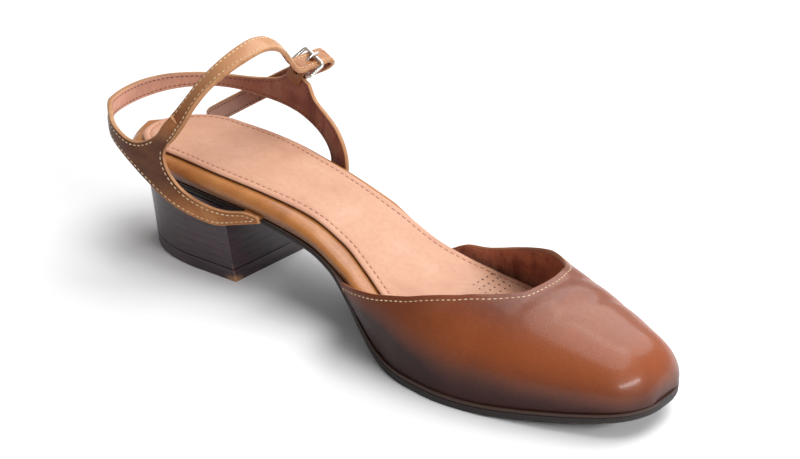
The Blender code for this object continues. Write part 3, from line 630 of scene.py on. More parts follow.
@dataclass(frozen=True)
class PaintedLightVampLeather(Leather):
    """Vamp leather: muted on top, with a warm stripe of painted light along its side and painted
    shade towards the sole and the back.
    """

    # The first colour below is painted shade towards the sole and back; the second is the warm
    # painted light along the side.
    foot: Colour = (0.03, 0.01, 0.01)
    painted_glow: Colour = (0.30, 0.09, 0.02)
    painted_glow_rise: Span = (0.010, 0.020)
    painted_glow_fall: Span = (0.040, 0.027)
    painted_glow_share: float = 0.80
    streak: float = 0.008
    painted_shade_back: Span = (0.152, 0.104)
    painted_shade_foot: Span = (0.026, 0.008)
    painted_shade_corner: Span = (0.036, 0.012)
    painted_shade_share: float = 0.95
    dull_foot: Span = (0.004, 0.020)
    bright_toe: Span = (0.140, 0.205)

    def base(self, nodes: Nodes) -> Value:
        """Paint a warm stripe of light along the side, and paint shade towards the sole, the back
        and the low back corner.

        Args:
            nodes: Node tree of the finish.

        Returns:
            The colour with its painted light and painted shade.
        """
        dye = super().base(nodes)
        along, _, up = nodes.parts()
        # Painted light: a warm stripe along the side at mid height, its edges wobbled by streaks.
        streaks = nodes.noise(45.0, 3.0, stretch=(0.5, 1.0, 1.0))
        height = up + (streaks * self.streak - self.streak / 2)
        painted_glow_band = height.within(*self.painted_glow_rise) * height.within(*self.painted_glow_fall)
        with_painted_glow = nodes.mix(painted_glow_band * self.painted_glow_share, dye, self.painted_glow)
        # Painted shade: darker towards the back, in the low back corner and towards the sole, where
        # little light falls.
        back = along.within(*self.painted_shade_back)
        corner = height.within(*self.painted_shade_corner) * back
        low = height.within(*self.painted_shade_foot) + corner * 0.7 + back * 0.36
        return nodes.mix(low * self.painted_shade_share, with_painted_glow, self.foot)

    def shine(self, nodes: Nodes) -> Value:
        """Polish the toe most and leave the leather by the sole dull.

        Args:
            nodes: Node tree of the finish.

        Returns:
            Weight of the polish.
        """
        along, _, up = nodes.parts()
        toe = 0.4 + along.within(*self.bright_toe) * 0.6
        return up.within(*self.dull_foot) * toe * self.coat


@dataclass(frozen=True)
class ForkLeather(Leather):
    """Strap leather, with painted shade in soft streaks on the inner fork that bends over the heel,
    and a painted highlight on the ankle strap's top.
    """

    # The first colour below is the painted shade of the inner fork; the second is the painted
    # highlight of the strap's top.
    dark: Colour = (0.10, 0.03, 0.01)
    painted_top_light: Colour = (0.60, 0.32, 0.14)
    inner_side: Span = (-0.018, -0.030)
    fork_foot: Span = (0.028, 0.042)
    fork_head: Span = (0.068, 0.056)
    painted_top_light_above: Span = (0.070, 0.094)
    painted_top_light_share: float = 0.45
    polished_above: Span = (0.050, 0.085)

    def base(self, nodes: Nodes) -> Value:
        """Paint shade on the inner fork in soft streaks, and paint light on the strap's top.

        Args:
            nodes: Node tree of the finish.

        Returns:
            The colour with its painted shade and painted highlight.
        """
        dye = super().base(nodes)
        _, across, up = nodes.parts()
        streaks = nodes.noise(70.0, 3.0, stretch=(1.0, 1.0, 2.5))
        fork = up.within(*self.fork_foot) * up.within(*self.fork_head)
        inner = across.within(*self.inner_side) * fork
        # Painted highlight: the strap's top is made paler where it faces the light.
        with_painted_top_light = nodes.mix(up.within(*self.painted_top_light_above) * self.painted_top_light_share, dye, self.painted_top_light)
        # Painted shade: the inner fork is darkened in soft streaks where little light reaches it.
        return nodes.mix(inner * (0.45 + streaks * 0.8), with_painted_top_light, self.dark)

    def shine(self, nodes: Nodes) -> Value:
        """Polish the ankle strap more than the sides."""
        high = nodes.parts()[2].within(*self.polished_above)
        return (0.25 + high * 0.75) * self.coat


@dataclass(frozen=True)
class SlingLining(Leather):
    """Lining leather, with painted light behind the heel and painted shade on the outer side."""

    # The colour below is the painted light behind the heel.
    paler_patch: Colour = (0.70, 0.42, 0.30)
    outer_side: Span = (0.006, 0.034)
    behind_heel: Span = (-0.012, -0.040)

    def base(self, nodes: Nodes) -> Value:
        """Paint light behind the heel and shade on the outer side of the loop.

        Args:
            nodes: Node tree of the finish.

        Returns:
            The colour with its painted light and painted shade.
        """
        dye = super().base(nodes)
        along, across, _ = nodes.parts()
        # Painted shade on the outer side, then painted light behind the heel.
        darker = nodes.mix(across.within(*self.outer_side) * 0.55, dye, self.deep)
        return nodes.mix(along.within(*self.behind_heel) * 0.65, darker, self.paler_patch)


@dataclass(frozen=True)
class RolledLeather(Leather):
    """Wrap leather, with painted shade where it rolls under the platform."""

    # The colour below is the painted shade of the down-facing roll.
    under: Colour = (0.10, 0.04, 0.02)
    painted_shade_facing: Span = (0.20, -0.55)

    def base(self, nodes: Nodes) -> Value:
        """Paint shade where the roll faces down, with a blotchy edge.

        Args:
            nodes: Node tree of the finish.

        Returns:
            The colour with its painted shade.
        """
        dye = super().base(nodes)
        facing = nodes.facing_up()
        # Painted shade: the roll darkens where it faces down, away from the lamps.
        blotches = nodes.noise(60.0, 3.0) * 0.3
        return nodes.mix((facing - blotches).within(*self.painted_shade_facing) * 0.85, dye, self.under)


@dataclass(frozen=True)
class StackedHeel(Finish):
    """Finish of the heel: dark stained layers of leather with fine lines between."""

    colour: Colour
    line: Colour
    scuff: Colour
    layer: float = 0.0032
    waviness: float = 0.0008
    chip: float = 0.0022
    tip_chip: float = 0.0060
    corner_at: Span = (0.0502, 0.0518)
    tip_at: Span = (0.0480, 0.0524)
    corner_low: Span = (0.0130, 0.0060)
    tip_low: Span = (0.0032, 0.0010)
    relief: float = 0.00010

    def dress(self, nodes: Nodes) -> None:
        """Stain the layers, line them and wear the front corner of the inner side.

        Args:
            nodes: Node tree of the finish.
        """
        along, across, up = nodes.parts()
        wave = nodes.noise(35.0, 2.0) * self.waviness
        phase = ((up + wave) * (math.pi / self.layer)).sine().size()
        seam = phase.within(0.12, 0.02)
        fibre = nodes.noise(140.0, 4.0, 0.7, stretch=(1.0, 1.0, 9.0))
        stain = nodes.mix(fibre.within(0.35, 0.75), self.colour, self.line)
        lined = nodes.mix(seam * 0.45, stain, self.line)
        chips = nodes.noise(900.0, 3.0, stretch=(1.0, 1.0, 0.45))
        towards = along - across
        corner = (towards + chips * self.chip).within(*self.corner_at)
        tip = (towards + chips * self.tip_chip).within(*self.tip_at)
        scuffed = corner * up.within(*self.corner_low) * 0.55
        paler_patch = scuffed + tip * up.within(*self.tip_low) * 0.8
        nodes.feed(
            Base_Color=nodes.mix(paler_patch, lined, self.scuff),
            Roughness=0.36 + fibre * 0.22 + paler_patch * 0.3,
            Coat_Weight=0.35,
            Coat_Roughness=0.25,
        )
        nodes.bump(fibre * 0.6 - seam * 1.6, self.relief)


@dataclass(frozen=True)
class SoleEdge(Finish):
    """Finish of the outsole: inked edge, and a tread that shows wear under the ball and heel."""

    colour: Colour
    dust: Colour
    roughness: float = 0.48
    tread: Span = (-0.5, -0.9)
    relief: float = 0.00008

    def dress(self, nodes: Nodes) -> None:
        """Ink the edge and dust the tread.

        Args:
            nodes: Node tree of the finish.
        """
        grit = nodes.noise(900.0, 3.0, 0.7)
        cloud = nodes.noise(45.0, 3.0)
        under = nodes.facing_up().within(*self.tread)
        dusty = under * cloud.within(0.40, 0.68) * 0.55 + grit.within(0.62, 0.80) * 0.10
        nodes.feed(
            Base_Color=nodes.mix(dusty, self.colour, self.dust),
            Roughness=self.roughness + grit * 0.2,
        )
        nodes.bump(grit + cloud, self.relief)


@dataclass(frozen=True)
class Thread(Finish):
    """Finish of a twisted sewing thread."""

    colour: Colour
    shade: Colour
    roughness: float = 0.62
    relief: float = 0.00006

    def dress(self, nodes: Nodes) -> None:
        """Soil the thread and raise its twist.

        Args:
            nodes: Node tree of the finish.
        """
        twist = nodes.noise(3200.0, 1.0)
        blotches = nodes.noise(160.0, 2.0)
        nodes.feed(
            Base_Color=nodes.mix(blotches.within(0.62, 0.35) * 0.5, self.colour, self.shade),
            Roughness=self.roughness,
        )
        nodes.bump(twist, self.relief)


@dataclass(frozen=True)
class Metal(Finish):
    """Finish of polished, lightly handled steel."""

    colour: Colour
    smudge: Colour = (0.42, 0.40, 0.38)
    roughness: float = 0.16
    relief: float = 0.000012

    def dress(self, nodes: Nodes) -> None:
        """Smudge the polish.

        Args:
            nodes: Node tree of the finish.
        """
        hands = nodes.noise(900.0, 3.0, 0.6)
        nodes.feed(
            Base_Color=nodes.mix(hands.within(0.55, 0.75) * 0.25, self.colour, self.smudge),
            Metallic=1.0,
            Roughness=self.roughness + hands * 0.16,
        )
        nodes.bump(nodes.noise(5200.0, 1.0), self.relief)


@dataclass(frozen=True)
class PaleFloor(Finish):
    """Finish of the plain pale floor."""

    colour: Colour
    light: Colour = (0.9, 0.9, 0.9)
    roughness: float = 0.9

    def dress(self, nodes: Nodes) -> None:
        """Cloud the floor a little."""
        cloud = nodes.noise(3.0, 2.0) * 0.02
        nodes.feed(Base_Color=nodes.mix(cloud, self.colour, self.light), Roughness=self.roughness)


class Finishes:
    """Every material of the shoe, made once."""

    def __init__(self) -> None:
        """Mix the dyes and make the materials."""
        # The vamp's last two colours are painted shade towards the sole and warm painted light along
        # the side.
        self.vamp = PaintedLightVampLeather(
            "vamp_leather", tint("7C4531"), tint("613122"), tint("92583C"),
            roughness=0.42, coat=0.32, coat_roughness=0.18, pore=0.0007, relief=0.00006,
            cloud=0.022, specular=0.22, drape=0.00055, foot=tint("2C100E"),
            painted_glow=tint("8D441A")).make()
        self.vamp_edge = Leather(
            "vamp_edge", tint("8A4F2E"), tint("5E3019"), tint("A66B44"),
            roughness=0.55, coat=0.1).make()
        # The lining's wrinkles get painted shade in their troughs.
        self.vamp_lining = Leather(
            "vamp_lining", tint("B5745B"), tint("6E382B"), tint("CB8E76"),
            roughness=0.62, coat=0.05, coat_roughness=0.4, pore=0.0006, relief=0.00010,
            cloud=0.016, wrinkle=0.0045).make()
        # The strap's last two colours are painted shade on the inner fork and a painted highlight on
        # the strap's top.
        self.strap = ForkLeather(
            "strap_leather", tint("A06436"), tint("784525"), tint("BC8454"),
            roughness=0.42, coat=0.30, coat_roughness=0.22, pore=0.0006, relief=0.00005,
            cloud=0.014, specular=0.18, dark=tint("4A2310"), painted_top_light=tint("D6A47A")).make()
        self.strap_edge = Leather(
            "strap_edge", tint("B5835A"), tint("875732"), tint("CDA27A"),
            roughness=0.55, coat=0.05).make()
        # The strap lining's last colour is painted light behind the heel; its wrinkles also get
        # painted shade in their troughs.
        self.strap_lining = SlingLining(
            "strap_lining", tint("BC7C63"), tint("6E3628"), tint("CF9A82"),
            roughness=0.60, coat=0.06, coat_roughness=0.35, pore=0.0006, relief=0.00012,
            cloud=0.010, wrinkle=0.0026, paler_patch=tint("E0AC94")).make()
        self.lined_strap = [self.strap, self.strap_lining, self.strap_edge]
        self.cover = Leather(
            "cover_leather", tint("C7967B"), tint("B68067"), tint("D2A48C"),
            roughness=0.58, coat=0.06, coat_roughness=0.35, pore=0.0006, relief=0.00006,
            cloud=0.020).make()
        # Painted shade: the cover's side and under faces are coloured dark, standing in for the
        # shadow line at its seam with the wrap.
        self.cover_edge_painted_shade = Leather(
            "cover_edge_painted_shade", tint("5E3524"), tint("44241A"), tint("7A4A34"),
            roughness=0.60, coat=0.0).make()
        # The wrap's last colour is painted shade where the roll faces down.
        self.wrap = RolledLeather(
            "wrap_leather", tint("AE6F38"), tint("8A5129"), tint("C0854E"),
            roughness=0.36, coat=0.32, coat_roughness=0.15, pore=0.0006, relief=0.00004,
            cloud=0.020, under=tint("573522")).make()
        self.tab = Leather(
            "tab_leather", tint("86502A"), tint("653919"), tint("9A6238"),
            roughness=0.40, coat=0.3).make()
        self.heel = StackedHeel("heel_stack", tint("221721"), tint("48272A"), tint("A67C56")).make()
        self.sole = SoleEdge("outsole_edge", tint("1E1412"), tint("5A483E")).make()
        self.welt = SoleEdge("welt_strip", tint("3C2418"), tint("6A4C3A")).make()
        self.thread = Thread("tan_thread", tint("DCC29C"), tint("A07A52")).make()
        self.brown_thread = Thread("brown_thread", tint("6E3A28"), tint("4A2018")).make()
        self.peach_thread = Thread("peach_thread", tint("A66C50"), tint("7C4632")).make()
        # The hole colour is painted shade, standing in for the dark inside of the vent holes.
        self.hole = SoleEdge("hole_painted_shade", tint("4A281C"), tint("5A3424")).make()
        self.steel = Metal("steel", tint("D8D5CF")).make()
        self.floor = PaleFloor("pale_floor", (0.84, 0.84, 0.85)).make()


class Draft:
    """Points, faces and material numbers of one mesh in the making."""

    def __init__(self) -> None:
        """Start with nothing."""
        self.points: list[Vector] = []
        self.faces: list[tuple[int, ...]] = []
        self.paint: list[int] = []

    def point(self, place: Vector) -> int:
        """Add a point and return its number."""
        self.points.append(place)
        return len(self.points) - 1

    def face(self, corners: Sequence[int], paint: int = 0) -> None:
        """Add a face with its material number."""
        self.faces.append(tuple(corners))
        self.paint.append(paint)

    def rows(self, rows: Sequence[Sequence[Vector]]) -> list[list[int]]:
        """Add rows of points and return their numbers."""
        return [[self.point(place) for place in row] for row in rows]

    def skin(self, rows: Sequence[Sequence[int]], closed: bool = False,
             paint: Callable[[int], int] | int = 0) -> None:
        """Fill quads between neighbouring rows.

        Args:
            rows: Point numbers of each row.
            closed: Whether each row runs round to its start.
            paint: Material number, or a function from a column to one.
        """
        for row, after in zip(rows, rows[1:]):
            for k in range(len(row) if closed else len(row) - 1):
                n = (k + 1) % len(row)
                number = paint(k) if callable(paint) else paint
                self.face((row[k], row[n], after[n], after[k]), number)

    def tube(self, rings: Sequence[Sequence[Vector]], paint: Callable[[int], int] | int = 0) -> None:
        """Skin a row of closed rings and cap both ends.

        Args:
            rings: Points of each ring.
            paint: Material number, or a function to it.
        """
        numbers = self.rows(rings)
        self.skin(numbers, True, paint)
        end = paint(0) if callable(paint) else paint
        self.face(list(reversed(numbers[0])), end)
        self.face(numbers[-1], end)

    def build(self, name: str, materials: Sequence[bpy.types.Material],
              smooth_angle: float = SHARP_EDGE) -> bpy.types.Object:
        """Make the object.

        Args:
            name: Name of the object and its mesh.
            materials: Material slots, numbered as the faces say.
            smooth_angle: Edges flatter than this are shaded smooth, in degrees.

        Returns:
            The new object, which rides on the shoe.
        """
        mesh = bpy.data.meshes.new(name)
        mesh.from_pydata([tuple(point) for point in self.points], [], self.faces)
        mesh.polygons.foreach_set("material_index", self.paint)
        bm = bmesh.new()
        bm.from_mesh(mesh)
        bm.normal_update()
        bmesh.ops.recalc_face_normals(bm, faces=bm.faces)
        bm.to_mesh(mesh)
        bm.free()
        return settle(name, mesh, materials, smooth_angle)


def linked(name: str, data: bpy.types.ID) -> bpy.types.Object:
    """Make an object of some data and link it to the scene.

    Args:
        name: Name of the object.
        data: Mesh, lamp or camera.

    Returns:
        The object.
    """
    obj = bpy.data.objects.new(name, data)
    bpy.context.scene.collection.objects.link(obj)
    return obj


def named_mesh(name: str, bm: bmesh.types.BMesh) -> bpy.types.Mesh:
    """Turn an editing mesh into a named mesh and free it.

    Args:
        name: Name of the mesh.
        bm: Editing mesh, which is freed.

    Returns:
        The named mesh.
    """
    mesh = bpy.data.meshes.new(name)
    bm.to_mesh(mesh)
    bm.free()
    return mesh


def settle(name: str, mesh: bpy.types.Mesh, materials: Sequence[bpy.types.Material],
           smooth_angle: float = SHARP_EDGE) -> bpy.types.Object:
    """Put a finished mesh in the scene, shaded and riding on the shoe.

    Args:
        name: Name of the object.
        mesh: Finished mesh.
        materials: Material slots.
        smooth_angle: Flatter edges are smooth, in degrees.

    Returns:
        The object.
    """
    for material in materials:
        mesh.materials.append(material)
    mesh.shade_smooth()
    mesh.set_sharp_from_angle(angle=math.radians(smooth_angle))
    obj = linked(name, mesh)
    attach(obj, BODY)
    LOG.info("%s: %d faces", name, len(mesh.polygons))
    return obj


def applied(obj: bpy.types.Object) -> None:
    """Bake an object's modifiers into its mesh.

    Args:
        obj: Object with modifiers.
    """
    seen = obj.evaluated_get(bpy.context.evaluated_depsgraph_get())
    mesh = bpy.data.meshes.new_from_object(seen)
    obj.modifiers.clear()
    obj.data = mesh


def softened_copy(name: str, node: str, width: float,
                  materials: Sequence[bpy.types.Material]) -> bpy.types.Object:
    """Copy a node's mesh and round its sharp edges.

    Args:
        name: Name of the copy.
        node: Node that it stands for.
        width: Radius of the rounded edges.
        materials: Material slots of the copy.

    Returns:
        The copy, which replaces the node.
    """
    bm = bmesh.new()
    bm.from_mesh(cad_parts[node].data)
    bmesh.ops.remove_doubles(bm, verts=bm.verts, dist=WELD)
    flat, steep = math.radians(FLAT_EDGE), math.radians(SHARP_EDGE)
    bmesh.ops.dissolve_limit(bm, angle_limit=flat, verts=bm.verts, edges=bm.edges)
    bm.normal_update()
    sharp = [e for e in bm.edges if len(e.link_faces) == 2 and e.calc_face_angle(0) > steep]
    bmesh.ops.bevel(bm, geom=sharp, offset=width, segments=3, profile=0.5, affect="EDGES",
                    clamp_overlap=True)
    for face in bm.faces:
        face.material_index = 0
    obj = settle(name, named_mesh(name, bm), materials)
    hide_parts(node)
    return obj


def drill(obj: bpy.types.Object, cutters: Iterable[bpy.types.Object]) -> None:
    """Cut shapes out of an object and remove the cutters.

    Args:
        obj: Object to cut.
        cutters: Shapes to cut out.
    """
    for cutter in cutters:
        cut = obj.modifiers.new(cutter.name, "BOOLEAN")
        cut.operation = "DIFFERENCE"
        cut.solver = "EXACT"
        cut.object = cutter
        applied(obj)
        bpy.data.objects.remove(cutter)


def through(points: Sequence[Vector], samples: int) -> list[Vector]:
    """Run a smooth curve through points.

    Args:
        points: Points that the curve passes.
        samples: Steps between neighbouring points.

    Returns:
        Points along the curve.
    """
    ends = [2 * points[0] - points[1], *points, 2 * points[-1] - points[-2]]
    curve = []
    for k in range(1, len(ends) - 2):
        a, b, c, d = ends[k - 1:k + 3]
        for s in range(samples):
            t = s / samples
            bend = (2 * a - 5 * b + 4 * c - d) * t * t + (3 * b - a - 3 * c + d) * t ** 3
            curve.append((2 * b + (c - a) * t + bend) / 2)
    curve.append(points[-1])
    return curve


def runs(points: Sequence[Vector]) -> list[float]:
    """Return the distance run at each point of a line.

    Args:
        points: Points of a line.

    Returns:
        Distances, from zero.
    """
    total = [0.0]
    for before, after in zip(points, points[1:]):
        total.append(total[-1] + (after - before).length)
    return total


STITCH = Table("place thickness dip", (
    (-0.50, 0.35, 0.90), (-0.36, 0.85, 0.25), (0.00, 1.00, 0.00), (0.36, 0.85, 0.25),
    (0.50, 0.35, 0.90),
))


@dataclass
class Sewing:
    """Stitches of one thread, each a small bead of thread that dips in at its ends."""

    name: str
    material: bpy.types.Material
    pitch: float
    length: float
    radius: float
    breadth: float = 1.15
    tallness: float = 0.8
    draft: Draft = field(default_factory=Draft)

    def stitch(self, middle: Vector, along: Vector, up: Vector) -> None:
        """Add one stitch.

        Args:
            middle: Middle of the stitch.
            along: Way that the seam runs.
            up: Way that the leather faces.
        """
        aside = up.cross(along).normalized()
        rings = []
        for place, share, dip in STITCH.rows:
            centre = middle + along * place * self.length - up * dip * self.radius
            ring = []
            for k in range(8):
                a = math.pi / 4 * k
                spread = aside * math.cos(a) * self.breadth + up * math.sin(a) * self.tallness
                ring.append(centre + spread * self.radius * share)
            rings.append(ring)
        self.draft.tube(rings)

    def row(self, line: Sequence[tuple[Vector, Vector]], lift: float) -> None:
        """Sew along a line.

        Args:
            line: Places on the leather, each with its outward direction.
            lift: Height of the thread's middle over the leather.
        """
        places = [place for place, up in line]
        if len(places) < 3:
            return
        run = runs(places)
        count = int(run[-1] / self.pitch)
        for s in range(count):
            wanted = (s + 0.5) * run[-1] / count
            k = min(bisect_right(run, wanted) - 1, len(run) - 2)
            t = (wanted - run[k]) / max(run[k + 1] - run[k], 1e-9)
            middle = places[k].lerp(places[k + 1], t)
            up = line[k][1].lerp(line[k + 1][1], t).normalized()
            along = (places[min(k + 2, len(places) - 1)] - places[max(k - 1, 0)]).normalized()
            self.stitch(middle + up * lift, along, up)

    def build(self, slot: str) -> None:
        """Make the joined stitches."""
        obj = self.draft.build(self.name, [self.material], smooth_angle=80)


GROOVE = Table("depth rise", (
    (0.0, -0.00035), (0.25, -0.0001), (1.0, 0.0), (1.0, 0.00012), (0.25, 0.00025),
))


@dataclass
class Outsole:
    """Thin outsole with a welt strip over it, parted by a fine groove."""

    finishes: Finishes
    bevel: float = 0.0006
    groove: float = 0.00035
    welt_share: float = 0.64
    welt_row: int = 7
    welt_inset: float = 0.00004
    welt_start: float = 0.0004
    welt_end: float = 0.0003
    corner_inset: float = 0.00012
    corner_drop: float = 0.0001
    top_inset: float = 0.0004
    bevel_steps: int = 4

    def edge(self, x: float, side: Side) -> list[Vector]:
        """Points of one edge from the underside up.

        Args:
            x: Distance along the sole.
            side: Side of the foot.

        Returns:
            Points in the frame.
        """
        low, high = LAST.tread_z(x), LAST.bench_z(x)
        half = LAST.sole_half(x, side)
        bevel = min(self.bevel, half * 0.4)
        groove = min(self.groove, half * 0.3)
        tall = high - low
        split = low + tall * self.welt_share
        rows = [(half - bevel, low)]
        for k in range(1, self.bevel_steps + 1):
            a = quarter(k, self.bevel_steps)
            rows.append((half - bevel * (1 - math.sin(a)), low + self.bevel * (1 - math.cos(a))))
        rows += [(half - groove * depth, split + rise) for depth, rise in GROOVE.rows]
        rows += [
            (half - self.welt_inset, split + self.welt_start),
            (half - self.welt_inset, high - self.welt_end),
            (half - self.corner_inset, high - self.corner_drop),
            (half - min(self.top_inset, half * 0.3), high),
        ]
        return [LAST.world(x, side.value * y, z) for y, z in rows]

    def build(self) -> None:
        """Make the outsole."""
        draft = Draft()
        rings = []
        for x in LAST.stations(LAST.sole_back, LAST.sole_tip, middle=160, ends=40):
            outer = self.edge(x, Side.OUTER)
            rings.append(outer + list(reversed(self.edge(x, Side.INNER))))
        count = len(rings[0]) // 2

        def paint(column: int) -> int:
            """Tell the welt strip from the sole under it."""
            level = column if column < count else 2 * count - 2 - column
            return 1 if level >= self.welt_row else 0

        draft.tube(rings, paint)
        materials = [self.finishes.sole, self.finishes.welt]
        obj = draft.build("outsole_body", materials, smooth_angle=35)
        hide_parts("outsole")


@dataclass
class Heel:
    """Stacked heel block and its top piece, with softened corners."""

    finishes: Finishes
    bevel: float = 0.00016

    def build(self) -> None:
        """Make both pieces."""
        stack = [self.finishes.heel]
        block = softened_copy("heel_stack_body", "heel_block", self.bevel, stack)
        tip = softened_copy("heel_tip_body", "heel_top_piece", self.bevel, stack)


@dataclass
class Platform:
    """Wrapped platform whose leather rolls over both top edges to the cover."""

    finishes: Finishes
    roll_steps: int = 12
    under_steps: int = 5
    foot_inset: float = 0.0006
    foot_ease: float = 0.0004
    least_foot: float = 0.5
    belly_share: float = 0.45
    roll_out: float = 0.8
    roll_up: float = 0.9

    def edge(self, x: float, side: Side) -> list[Vector]:
        """Points of one edge from its lower corner over the roll to the cover.

        Args:
            x: Distance along the sole.
            side: Side of the foot.

        Returns:
            Points in the frame.
        """
        low = LAST.bench_z(x) + LAST.gap
        high = LAST.footbed_z(x) - LAST.cover_thickness - LAST.gap
        outer = LAST.rand_half(x, side)
        seam = min(LAST.cover_half(x, side), outer - LAST.gap)
        foot = min(LAST.sole_half(x, side) - self.foot_inset, outer) - self.foot_ease
        foot = max(foot, seam * self.least_foot)
        belly = low + (high - low) * self.belly_share
        points = []
        for k in range(self.under_steps):
            a = quarter(k, self.under_steps)
            y = foot + (outer - foot) * math.sin(a)
            points.append(LAST.world(x, side.value * y, belly - (belly - low) * math.cos(a)))
        for k in range(self.roll_steps + 1):
            a = quarter(k, self.roll_steps)
            y = seam + (outer - seam) * math.cos(a) ** self.roll_out
            z = belly + (high - belly) * math.sin(a) ** self.roll_up
            points.append(LAST.world(x, side.value * y, z))
        return points

    def build(self) -> None:
        """Make the platform."""
        draft = Draft()
        rings = []
        front = LAST.sole_length - LAST.platform_setback
        for x in LAST.stations(-LAST.platform_overhang, front, middle=150, ends=24):
            rings.append(self.edge(x, Side.OUTER) + list(reversed(self.edge(x, Side.INNER))))
        draft.tube(rings)
        obj = draft.build("platform_wrap", [self.finishes.wrap], smooth_angle=60)
        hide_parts("platform")


@dataclass
class FootbedCover:
    """Padded leather cover with a sewn channel round its edge and a vented ball."""

    finishes: Finishes
    round_edge: float = 0.0016
    drop: float = 0.0009
    channel_inset: float = 0.0032
    channel_width: float = 0.0006
    channel_depth: float = 0.00030
    crown: float = 0.00015
    crown_start: float = 0.005
    crown_reach: float = 0.012
    under_share: float = 0.985
    step: float = 0.0011
    across: int = 84
    sewn_share: float = 0.93
    thread_lift: float = 0.00010
    vent_start: Span = (0.1541, 0.0181)
    vent_pitch: Span = (0.0032, 0.0031)
    vent_rows: tuple[int, ...] = (5, 5, 5, 5, 3)
    vent_lean: float = 0.0004
    vent_radius: float = 0.00042
    vent_sides: int = 12
    vent_depth: float = 0.0003
    vent_lift: float = 0.00003

    def __post_init__(self) -> None:
        """Place the front end of the cover."""
        self.front = LAST.sole_length - LAST.cover_setback

    def outline(self) -> list[tuple[float, float]]:
        """Points round the cover's edge, outer side first from the heel.

        Returns:
            Points in plan.
        """
        places = LAST.stations(0.0, self.front, middle=130, ends=40)
        outer = [(x, LAST.cover_half(x, Side.OUTER)) for x in places]
        inner = [(x, -LAST.cover_half(x, Side.INNER)) for x in reversed(places)]
        return outer + inner

    def edge_distance(self, points: np.ndarray) -> np.ndarray:
        """Return the distance of each plan point from the cover's edge.

        Args:
            points: Points in plan.

        Returns:
            Distances in metres.
        """
        line = np.array(self.outline())
        step = np.roll(line, -1, axis=0) - line
        length = np.maximum((step ** 2).sum(1), WELD ** 2)
        best = np.full(len(points), 1.0)
        for a, d, size in zip(line, step, length):
            t = np.clip(((points - a) @ d) / size, 0, 1)
            reach = points - a - t[:, None] * d
            best = np.minimum(best, (reach ** 2).sum(1))
        return np.sqrt(best)

    def surface(self, x: float, distance: float) -> float:
        """Return the height of the cover's face at a distance from its edge.

        Args:
            x: Distance along the sole.
            distance: Distance from the cover's edge.

        Returns:
            Height over the floor.
        """
        soft = min(distance / self.round_edge, 1.0)
        top = LAST.footbed_z(x) - self.drop * (1 - math.sqrt(max(1 - (1 - soft) ** 2, 0)))
        off = (distance - self.channel_inset) / self.channel_width
        top -= self.channel_depth * math.exp(-off * off)
        return top + self.crown * clamp((distance - self.crown_start) / self.crown_reach)

    def columns(self) -> list[float]:
        """Shares of the half width, closer together towards the edge."""
        return [math.sin(math.pi / 2 * (k / self.across * 2 - 1)) for k in range(self.across + 1)]

    def build(self) -> None:
        """Make the cover, its sewing and its vent holes."""
        places = LAST.stations(0.0, self.front, middle=int(self.front / self.step), ends=30)
        shares = self.columns()
        plan = []
        for x in places:
            for share in shares:
                half = LAST.cover_half(x, Side.INNER if share < 0 else Side.OUTER)
                plan.append((x, half * share))
        reach = self.edge_distance(np.array(plan))
        draft = Draft()
        rows = []
        for i, x in enumerate(places):
            row = []
            for j in range(len(shares)):
                k = i * len(shares) + j
                y = plan[k][1]
                row.append(draft.point(LAST.world(x, y, self.surface(x, float(reach[k])))))
            rows.append(row)
        draft.skin(rows)
        under = []
        for i, x in enumerate(places):
            low = LAST.footbed_z(x) - LAST.cover_thickness
            pair = []
            for j in (0, len(shares) - 1):
                y = plan[i * len(shares) + j][1]
                pair.append(draft.point(LAST.world(x, y * self.under_share, low)))
            under.append(pair)
        # The side and under faces take the dark painted shade of the seam line.
        for k in range(len(places) - 1):
            draft.face((under[k][0], under[k][1], under[k + 1][1], under[k + 1][0]), 1)
            draft.face((rows[k][0], rows[k + 1][0], under[k + 1][0], under[k][0]), 1)
            draft.face((rows[k][-1], rows[k + 1][-1], under[k + 1][1], under[k][1]), 1)
        draft.face([*rows[0], under[0][1], under[0][0]], 1)
        draft.face([*rows[-1], under[-1][1], under[-1][0]], 1)
        finishes = [self.finishes.cover, self.finishes.cover_edge_painted_shade]
        cover = draft.build("footbed_cover_leather", finishes, smooth_angle=60)
        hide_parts("footbed_cover")
        self.sew()
        self.vents()

    def sew(self) -> None:
        """Sew the channel round the cover."""
        line = [Vector((x, y, 0)) for x, y in self.outline()]
        inset = []
        for before, here, after in zip(line[-1:] + line, line, line[1:] + line[:1]):
            heading = (after - before).normalized()
            inward = Vector((heading.y, -heading.x, 0))
            inset.append(here + inward * self.channel_inset)
        plan = np.array([(p.x, p.y) for p in inset])
        reach = self.edge_distance(plan)
        sewing = Sewing("footbed_stitches", self.finishes.peach_thread,
                        pitch=0.0027, length=0.0020, radius=0.00024)
        row = []
        for place, distance in zip(inset, reach):
            if distance < self.channel_inset * self.sewn_share:
                continue
            z = self.surface(place.x, self.channel_inset)
            row.append((LAST.world(place.x, place.y, z), UP))
        sewing.row(row, self.thread_lift)
        sewing.build("footbed_cover")

    def vents(self) -> None:
        """Draw the small cluster of vent holes at the outer ball as dark discs of painted shade."""
        draft = Draft()
        # Each hole is a dark disc on the cover, painted shade standing in for the hole's depth.
        for i, count in enumerate(self.vent_rows):
            for j in range(count):
                x = self.vent_start[0] + self.vent_pitch[0] * i
                y = self.vent_start[1] + self.vent_pitch[1] * j - self.vent_lean * i
                z = LAST.footbed_z(x) + self.crown + self.vent_lift
                rim = []
                for k in range(self.vent_sides):
                    a = math.tau * k / self.vent_sides
                    rim.append(LAST.world(x + self.vent_radius * math.cos(a),
                                          y + self.vent_radius * math.sin(a), z))
                low = [point - UP * self.vent_depth for point in rim]
                draft.tube([low, rim])
        obj = draft.build("vent_holes", [self.finishes.hole])


